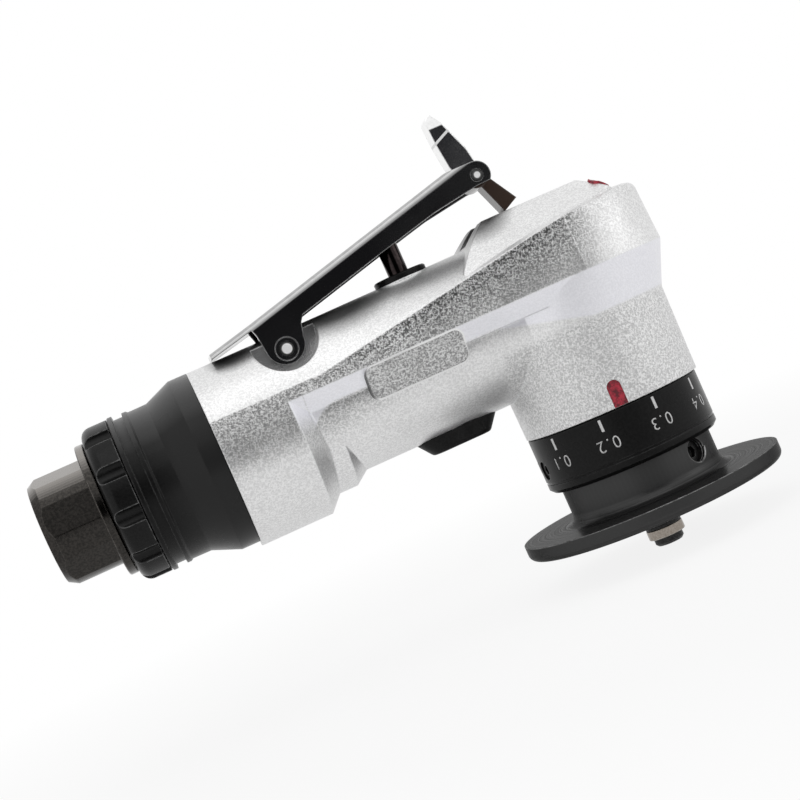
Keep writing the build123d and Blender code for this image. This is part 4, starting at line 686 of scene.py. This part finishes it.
finishes = {
    "cast_silver": cast_silver(),
    "turned_black": turned_black(),
    "satin_black": grained_finish(
        "satin_black", dark=grey(0.005), light=grey(0.009), worn=grey(0.06), rough=(0.24, 0.36), metallic=0.0,
        grain_mm=0.5, bump_mm=0.005, wear_mm=0.35, shine=0.14
    ),
    "collar_black": collar_black(),
    # The ring's edges are rubbed grey, partly a painted highlight
    "ring_black": grained_finish(
        "ring_black", dark=grey(0.005), light=grey(0.009), worn=grey(0.3), rough=(0.22, 0.32), metallic=0.0,
        grain_mm=0.5, bump_mm=0.005, wear_mm=0.45, shine=0.16
    ),
    "browned_steel": browned_flats(),
    "bright_chrome": plated_sheet(),
    "smoked_chrome": smoked_sheet(),
    "lever_pin": pin_with_painted_glint("lever_pin", LEVER_PIN_PLACE, LEVER_PIN_GLINT),
    "lock_pin": pin_with_painted_glint("lock_pin", LOCK_PIN_PLACE, LOCK_PIN_GLINT),
    "dark_pin": grained_finish(
        "dark_pin", dark=rgb(0.024, 0.019, 0.019), light=rgb(0.042, 0.033, 0.033), worn=grey(0.3),
        rough=(0.08, 0.14), metallic=1.0, grain_mm=1.0, bump_mm=0.002, wear_mm=0.3
    ),
    "bearing_steel": grained_finish(
        "bearing_steel", dark=grey(0.24, 0.14), light=grey(0.32, 0.12), worn=grey(0.7), rough=(0.12, 0.18),
        metallic=1.0, grain_mm=0.4, bump_mm=0.001, wear_mm=0.25
    ),
    "ground_steel": grained_finish(
        "ground_steel", dark=grey(0.38), light=grey(0.52), worn=grey(0.7), rough=(0.22, 0.36), metallic=1.0,
        grain_mm=0.4, bump_mm=0.004, wear_mm=0.25
    ),
    "drawn_wire": grained_finish(
        "drawn_wire", dark=grey(0.25), light=grey(0.36), worn=grey(0.5), rough=(0.3, 0.45), metallic=1.0,
        grain_mm=0.3, bump_mm=0.003, wear_mm=0.2
    ),
    "black_oxide": grained_finish(
        "black_oxide", dark=grey(0.02), light=grey(0.045), worn=grey(0.2), rough=(0.35, 0.5), metallic=0.8,
        grain_mm=0.4, bump_mm=0.005, wear_mm=0.2
    ),
    "seal_rubber": grained_finish(
        "seal_rubber", dark=grey(0.015), light=grey(0.03), worn=grey(0.05), rough=(0.6, 0.75), metallic=0.0,
        grain_mm=0.6, bump_mm=0.01, wear_mm=0.3
    ),
    "moulded_black": grained_finish(
        "moulded_black", dark=grey(0.006), light=grey(0.011), worn=grey(0.03), rough=(0.36, 0.48),
        metallic=0.0, grain_mm=0.5, bump_mm=0.012, wear_mm=0.4, shine=0.13
    ),
    "vane_laminate": grained_finish(
        "vane_laminate", dark=rgb(0.2, 0.11, 0.05), light=rgb(0.32, 0.19, 0.09), worn=rgb(0.4, 0.27, 0.15),
        rough=(0.5, 0.65), metallic=0.0, grain_mm=0.6, bump_mm=0.01, wear_mm=0.3
    ),
    "sintered_bronze": grained_finish(
        "sintered_bronze", dark=rgb(0.32, 0.2, 0.08), light=rgb(0.58, 0.4, 0.18), worn=rgb(0.7, 0.52, 0.28),
        rough=(0.45, 0.6), metallic=0.9, grain_mm=0.4, bump_mm=0.06, wear_mm=0.3
    ),
    "scale_white": grained_finish(
        "scale_white", dark=grey(0.66), light=grey(0.8), worn=grey(0.85), rough=(0.5, 0.6), metallic=0.0,
        grain_mm=0.3, bump_mm=0.002, wear_mm=0.1
    ),
    "index_red": grained_finish(
        "index_red", dark=rgb(0.12, 0.006, 0.014), light=rgb(0.52, 0.022, 0.05), worn=rgb(0.4, 0.06, 0.06),
        rough=(0.35, 0.5), metallic=0.0, grain_mm=0.9, bump_mm=0.01, wear_mm=0.2, coat=0.3
    ),
}

FINISH_OF_SLOT = {
    "cast_housing": "cast_silver",
    "black_metal": "satin_black",
    "browned_steel": "browned_steel",
    "chromed_steel": "bright_chrome",
    "dark_chrome": "smoked_chrome",
    "pin_steel": "ground_steel",
    "spring_steel": "drawn_wire",
    "screw_steel": "black_oxide",
    "tool_steel": "ground_steel",
    "seal_rubber": "seal_rubber",
    "black_plastic": "moulded_black",
    "vane_plastic": "vane_laminate",
    "bronze": "sintered_bronze",
}

FINISH_OF_NODE = {
    "guide_plate": "turned_black",
    "valve_stem": "dark_pin",
    "exhaust_collar": "collar_black",
    "regulator_ring": "ring_black",
    "lever_pin": "lever_pin",
    "lock_pin": "lock_pin",
    "chamfer_cutter": "black_oxide",
    "pilot_bearing_outer": "bearing_steel",
}


def coat_piece(piece, finish):
    """Gives a piece its finish in place of any other."""
    piece.data.materials.clear()
    piece.data.materials.append(finishes[finish])


for part in frame["record"]["subparts"]:
    finish_name = FINISH_OF_NODE.get(part["node"], FINISH_OF_SLOT[part["material_slot"]])
    coat_piece(nodes[part["node"]], finish_name)


# Tools for modelling


def select_only(piece):
    """Makes one object the only one selected and active."""
    bpy.ops.object.select_all(action="DESELECT")
    piece.select_set(True)
    bpy.context.view_layer.objects.active = piece


def apply_place(piece):
    """Moves an object's place into its mesh."""
    select_only(piece)
    bpy.ops.object.transform_apply(location=True, rotation=True, scale=True)


def apply_modifier(piece, kind, **settings):
    """Adds a modifier to a piece and applies it."""
    select_only(piece)
    made = piece.modifiers.new(kind.lower(), kind)
    for name, value in settings.items():
        setattr(made, name, value)
    bpy.ops.object.modifier_apply(modifier=made.name)


def copied(piece):
    """A copy of a piece, with its own mesh."""
    select_only(piece)
    bpy.ops.object.duplicate(linked=False)
    return bpy.context.active_object


def join_pieces(pieces, name):
    """Joins pieces into one with a new name."""
    select_only(pieces[0])
    for piece in pieces[1:]:
        piece.select_set(True)
    bpy.ops.object.join()
    joined = bpy.context.active_object
    joined.name = name
    joined.data.name = name
    return joined


def dress(piece, finish, body):
    """Gives a piece its finish and the body that carries it."""
    coat_piece(piece, finish)
    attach(piece, body)


def on_ring(angle, radius, z, upside_down=False):
    """Place on a cylinder round the spindle, facing outwards; the angle runs from -Y towards +X."""
    turn = radians(angle)
    facing = Vector((sin(turn), -cos(turn), 0.0))
    flip = -1.0 if upside_down else 1.0
    right = flip * Vector((cos(turn), sin(turn), 0.0))
    up = flip * Vector((0.0, 0.0, 1.0))
    place = Matrix((right, up, facing)).transposed().to_4x4()
    place.translation = facing * radius + Vector((0.0, 0.0, z))
    return place


# Painted marks: the depth ring's scale, the index on the head and the spot on the crown

RING_R = 0.01982
TICK_COUNT = 10
TICK_FIRST_ANGLE = -95.2
TICK_LOW_Z = 0.0214
TICK_TOP_Z = 0.024
TICK_W = 0.0006
TICK_CORNER = 0.2 * TICK_W
NUMERAL_Z = 0.0186
NUMERAL_H = 0.0026
NUMERAL_START_R = RING_R + 0.001
NUMERAL_SPACING = 1.25
NUMERAL_THINNING = -0.008
PAINT_T = 0.00005
PAINT_LIFT = 0.3 * PAINT_T

INDEX_ANGLE = -6.6
INDEX_R = 0.0199
INDEX_W = 0.00305
INDEX_TOP_ROUND = 0.495 * INDEX_W
INDEX_TOP_Z = 0.03065
INDEX_LOW_Z = 0.025
INDEX_T = 0.0003

CROWN_MARK_PLACE = (0.0141, -0.0122, 0.0735)
CROWN_MARK_R = 0.0018
CROWN_MARK_T = 0.0006


def lay_on(piece, node, thickness, **wrap):
    """Lays a flat mark on a CAD node, by the settings of the wrap, and gives it a thickness."""
    apply_modifier(piece, "SHRINKWRAP", target=nodes[node], offset=PAINT_LIFT, **wrap)
    apply_modifier(piece, "SOLIDIFY", thickness=thickness, offset=1.0)


def make_tick():
    """The graduation that the others copy, a thin bar with eased corners."""
    bpy.ops.object.select_all(action="DESELECT")
    bpy.ops.mesh.primitive_cube_add(size=1.0)
    tick = bpy.context.active_object
    tick.scale = (TICK_W, TICK_TOP_Z - TICK_LOW_Z, 2 * PAINT_T)
    apply_place(tick)
    apply_modifier(tick, "BEVEL", width=TICK_CORNER, segments=2, affect="VERTICES")
    return tick


def make_numeral(words, angle):
    """A number that reads with the tool's head down, wrapped on the ring."""
    bpy.ops.object.select_all(action="DESELECT")
    bpy.ops.object.text_add()
    numeral = bpy.context.active_object
    numeral.data.body = words
    numeral.data.align_x = "CENTER"
    numeral.data.align_y = "CENTER"
    numeral.data.space_character = NUMERAL_SPACING
    numeral.data.offset = NUMERAL_THINNING
    bpy.ops.object.convert(target="MESH")
    numeral = bpy.context.active_object
    numeral.scale = (NUMERAL_H / numeral.dimensions.y,) * 3
    apply_place(numeral)
    numeral.matrix_world = on_ring(angle, NUMERAL_START_R, NUMERAL_Z, upside_down=True)
    apply_place(numeral)
    lay_on(numeral, "scale_ring", PAINT_T, wrap_method="NEAREST_SURFACEPOINT")
    return numeral


def make_scale():
    """Ten graduations round the depth ring, a tenth of a millimetre each, and their numbers."""
    angles = [TICK_FIRST_ANGLE + step * 360.0 / TICK_COUNT for step in range(TICK_COUNT)]
    first = make_tick()
    ticks = [first] + [copied(first) for angle in angles[1:]]
    for tick, angle in zip(ticks, angles):
        tick.matrix_world = on_ring(angle, RING_R, (TICK_LOW_Z + TICK_TOP_Z) / 2)
        apply_place(tick)
    dress(join_pieces(ticks, "scale_ticks"), "scale_white", "scale_ring")
    words = ["0"] + [f"0.{step}" for step in range(1, TICK_COUNT)]
    numerals = [make_numeral(word, angle) for word, angle in zip(words, angles)]
    dress(join_pieces(numerals, "scale_numerals"), "scale_white", "scale_ring")


def make_index():
    """Red paint in the index slot at the head's foot, with a round top."""
    bpy.ops.object.select_all(action="DESELECT")
    bpy.ops.mesh.primitive_plane_add(size=1.0)
    index = bpy.context.active_object
    index.name = "index_paint"
    index.scale = (INDEX_W, INDEX_TOP_Z - INDEX_LOW_Z, 1.0)
    apply_place(index)
    bpy.ops.object.mode_set(mode="EDIT")
    bpy.ops.mesh.select_mode(type="VERT")
    bpy.ops.mesh.select_all(action="DESELECT")
    bpy.ops.object.mode_set(mode="OBJECT")
    for corner in index.data.vertices:
        corner.select = corner.co.y > 0
    bpy.ops.object.mode_set(mode="EDIT")
    bpy.ops.mesh.bevel(offset=INDEX_TOP_ROUND, segments=8, affect="VERTICES")
    bpy.ops.object.mode_set(mode="OBJECT")
    apply_modifier(index, "SOLIDIFY", thickness=INDEX_T, offset=0.0)
    index.matrix_world = on_ring(INDEX_ANGLE, INDEX_R, (INDEX_LOW_Z + INDEX_TOP_Z) / 2)
    apply_place(index)
    dress(index, "index_red", "housing")


def make_crown_mark():
    """Raised round red spot on the crown's front slope."""
    bpy.ops.object.select_all(action="DESELECT")
    bpy.ops.mesh.primitive_circle_add(
        vertices=24, radius=CROWN_MARK_R, fill_type="TRIFAN", location=CROWN_MARK_PLACE
    )
    mark = bpy.context.active_object
    mark.name = "crown_mark"
    apply_place(mark)
    bpy.ops.object.mode_set(mode="EDIT")
    bpy.ops.mesh.select_all(action="SELECT")
    bpy.ops.mesh.subdivide(number_cuts=2)
    bpy.ops.object.mode_set(mode="OBJECT")
    lay_on(
        mark,
        "main_housing",
        CROWN_MARK_T,
        wrap_method="PROJECT",
        use_project_z=True,
        use_negative_direction=True,
        use_positive_direction=False,
    )
    dress(mark, "index_red", "housing")


make_scale()
make_index()
make_crown_mark()


# Threads that show: in the air inlet's mouth and round the hub's clamp screw

INLET_PLACE = (-0.1111, 0.0, 0.0489)
INLET_THREAD_R = 0.0059
INLET_PITCH = 0.001337
INLET_TURNS = 8
HUB_HOLE_ANGLE = 34.9
HUB_HOLE_FLOOR_R = 0.01585
HUB_HOLE_Z = 0.0093
HUB_HOLE_R = 0.00265
HUB_PITCH = 0.0007
HUB_TURNS = 2

# A ridge's size for its pitch, how far it is sunk in the wall for its size, and its steps in a turn
RIDGE_SHARE = 0.4
RIDGE_SUNK = 0.35
RIDGE_STEPS = 32


def make_thread(name, place, radius, pitch, turns, finish, body):
    """Ridge of an inside thread: a three-sided profile, its tip inwards, wound out of the hole's depth."""
    bpy.ops.object.select_all(action="DESELECT")
    size = RIDGE_SHARE * pitch
    bpy.ops.mesh.primitive_circle_add(
        vertices=3,
        radius=size,
        location=(radius + RIDGE_SUNK * size, 0.0, 0.0),
        rotation=(radians(90), radians(-90), 0.0),
    )
    ridge = bpy.context.active_object
    ridge.name = name
    ridge.data.name = name
    apply_place(ridge)
    steps = {"steps": RIDGE_STEPS, "render_steps": RIDGE_STEPS}
    apply_modifier(ridge, "SCREW", axis="Z", screw_offset=pitch, iterations=turns, **steps)
    bpy.ops.object.mode_set(mode="EDIT")
    bpy.ops.mesh.select_all(action="SELECT")
    bpy.ops.mesh.fill_holes(sides=3)
    bpy.ops.mesh.normals_make_consistent(inside=False)
    bpy.ops.object.mode_set(mode="OBJECT")
    ridge.matrix_world = place
    apply_place(ridge)
    dress(ridge, finish, body)


inlet_mouth = Matrix.Translation(INLET_PLACE) @ Matrix.Rotation(radians(-90), 4, "Y")
make_thread("inlet_thread", inlet_mouth, INLET_THREAD_R, INLET_PITCH, INLET_TURNS, "browned_steel", "housing")
hub_hole = on_ring(HUB_HOLE_ANGLE, HUB_HOLE_FLOOR_R, HUB_HOLE_Z)
make_thread("hub_thread", hub_hole, HUB_HOLE_R, HUB_PITCH, HUB_TURNS, "ground_steel", "guide_plate")


# Studio: white floor and surround, a soft light above and a weaker one beyond the nose

# The floor's height, size and front edge; how much of its own white shows, near the tool and away from it,
# with the distances between which that changes; and how bright it is in reflections
FLOOR_Z = -0.0084
FLOOR_SIZE = 8.0
FLOOR_FRONT = 0.3
FLOOR_WHITE = (0.86, 1.0)
FLOOR_FADE = (0.12, 0.3)
FLOOR_MIRRORED = 0.9

# The dark place in front of the tool, which only reflections show: the directions' Y where it starts and is
# full, the Z where it starts to fade upwards and is gone, and the room's colours away from it and in it
DARK_Y = (-0.87, -0.95)
DARK_Z = (0.4, 0.85)
ROOM_COLOURS = ((0.0, grey(0.97)), (1.0, rgb(0.02, 0.02, 0.022)))

# How bright the room is, low and high, as a light and in reflections, with the Z between which that changes
ROOM_LIGHT = (0.85, 0.62)
ROOM_LIGHT_Z = (-0.05, 0.3)
ROOM_MIRRORED = (0.99, 1.03)
ROOM_MIRRORED_Z = (0.3, 0.8)


def make_floor():
    """Pale sheet, white to the camera and in reflections, that keeps a faint shadow round the tool."""
    bpy.ops.object.select_all(action="DESELECT")
    middle = (0.0, FLOOR_SIZE / 2 - FLOOR_FRONT, FLOOR_Z)
    bpy.ops.mesh.primitive_plane_add(size=FLOOR_SIZE, location=middle)
    floor = bpy.context.active_object
    floor.name = "studio_floor"
    apply_place(floor)
    made = bpy.data.materials.new("studio_white")
    tree = emptied_tree(made)
    reach = vector_math(tree, -700, 0, "LENGTH", object_place(tree, -900, 0))
    share = carried(tree, -500, 0, reach, *FLOOR_WHITE, *FLOOR_FADE)
    rays = add_node(tree, "ShaderNodeLightPath", -700, 350).outputs
    seen = number_math(tree, -450, 350, "MAXIMUM", rays["Is Camera Ray"], rays["Is Glossy Ray"])
    lit = number_math(tree, -200, 250, "MULTIPLY", seen, share)
    strength = carried(tree, -200, -150, rays["Is Glossy Ray"], 1.0, FLOOR_MIRRORED)
    paper = add_node(tree, "ShaderNodeBsdfDiffuse", 0, 150, Color=grey(0.9))
    glow = add_node(tree, "ShaderNodeEmission", 0, -50, Color=grey(1.0), Strength=strength)
    add_node(tree, "ShaderNodeOutputMaterial", 500, 100, Surface=shader_mix(tree, 250, 100, lit, paper, glow))
    floor.data.materials.append(made)


def make_surround():
    """World that is white to the camera, with a white room round the tool and a dark place in front of it."""
    world = bpy.data.worlds.new("studio_surround")
    bpy.context.scene.world = world
    tree = emptied_tree(world)
    where = add_node(tree, "ShaderNodeTexCoord", -1100, 0)
    axes = axes_of(tree, -900, 0, where.outputs["Generated"])
    front = carried(tree, -650, 100, axes["Y"], 0.0, 1.0, *DARK_Y)
    low = carried(tree, -650, -200, axes["Z"], 1.0, 0.0, *DARK_Z)
    dark = number_math(tree, -400, 0, "MULTIPLY", front, low)
    rays = add_node(tree, "ShaderNodeLightPath", -650, 450).outputs
    mirrored = number_math(tree, -300, 200, "MULTIPLY", dark, rays["Is Glossy Ray"])
    room = colour_ramp(tree, -200, 0, mirrored, ROOM_COLOURS)
    matt_level = carried(tree, -300, 500, axes["Z"], *ROOM_LIGHT, *ROOM_LIGHT_Z)
    mirror_level = carried(tree, -300, 800, axes["Z"], *ROOM_MIRRORED, *ROOM_MIRRORED_Z)
    strength = mixed(tree, -100, 300, rays["Is Glossy Ray"], matt_level, mirror_level, kind="FLOAT")
    light = add_node(tree, "ShaderNodeBackground", 100, 100, Color=room, Strength=strength)
    white = add_node(tree, "ShaderNodeBackground", 100, -100, Color=grey(1.0), Strength=1.0)
    surface = shader_mix(tree, 350, 50, rays["Is Camera Ray"], light, white)
    add_node(tree, "ShaderNodeOutputWorld", 600, 50, Surface=surface)


def make_softbox(name, place, target, size, watts):
    """Square area lamp that faces a point."""
    lamp = bpy.data.lights.new(name, "AREA")
    lamp.shape = "SQUARE"
    lamp.size = size
    lamp.energy = watts
    box = bpy.data.objects.new(name, lamp)
    bpy.context.scene.collection.objects.link(box)
    box.location = place
    aim = Vector(target) - Vector(place)
    box.rotation_euler = aim.to_track_quat("-Z", "Y").to_euler()


make_floor()
make_surround()
make_softbox("top_light", place=(-0.03, -0.32, 0.74), target=(-0.04, 0.0, 0.05), size=0.5, watts=0.5)
make_softbox("nose_light", place=(0.7, -0.3, 0.25), target=(0.0, 0.0, 0.05), size=0.4, watts=0.36)


# Camera, where the photograph was taken from; its turns are in degrees, its lens and sensor in millimetres

CAMERA_PLACE = (-0.08836, -0.3908, 0.05148)
CAMERA_YAW = -6.56
CAMERA_PITCH = 1.83
CAMERA_ROLL = 23.96
CAMERA_LENS = 81.5
CAMERA_SENSOR = 36.0
CAMERA_CLIP = 0.01

camera_data = bpy.data.cameras.new("photo_camera")
camera_data.sensor_width = CAMERA_SENSOR
camera_data.lens = CAMERA_LENS
camera_data.clip_start = CAMERA_CLIP
camera = bpy.data.objects.new("photo_camera", camera_data)
bpy.context.scene.collection.objects.link(camera)
turned = (
    Matrix.Rotation(radians(CAMERA_ROLL), 3, "Y")
    @ Matrix.Rotation(radians(CAMERA_PITCH), 3, "X")
    @ Matrix.Rotation(radians(CAMERA_YAW), 3, "Z")
)
level = Matrix.Rotation(radians(90), 3, "X")
camera.matrix_world = Matrix.Translation(CAMERA_PLACE) @ (turned @ level).to_4x4()
bpy.context.scene.camera = camera

bpy.context.scene.view_settings.view_transform = "Standard"
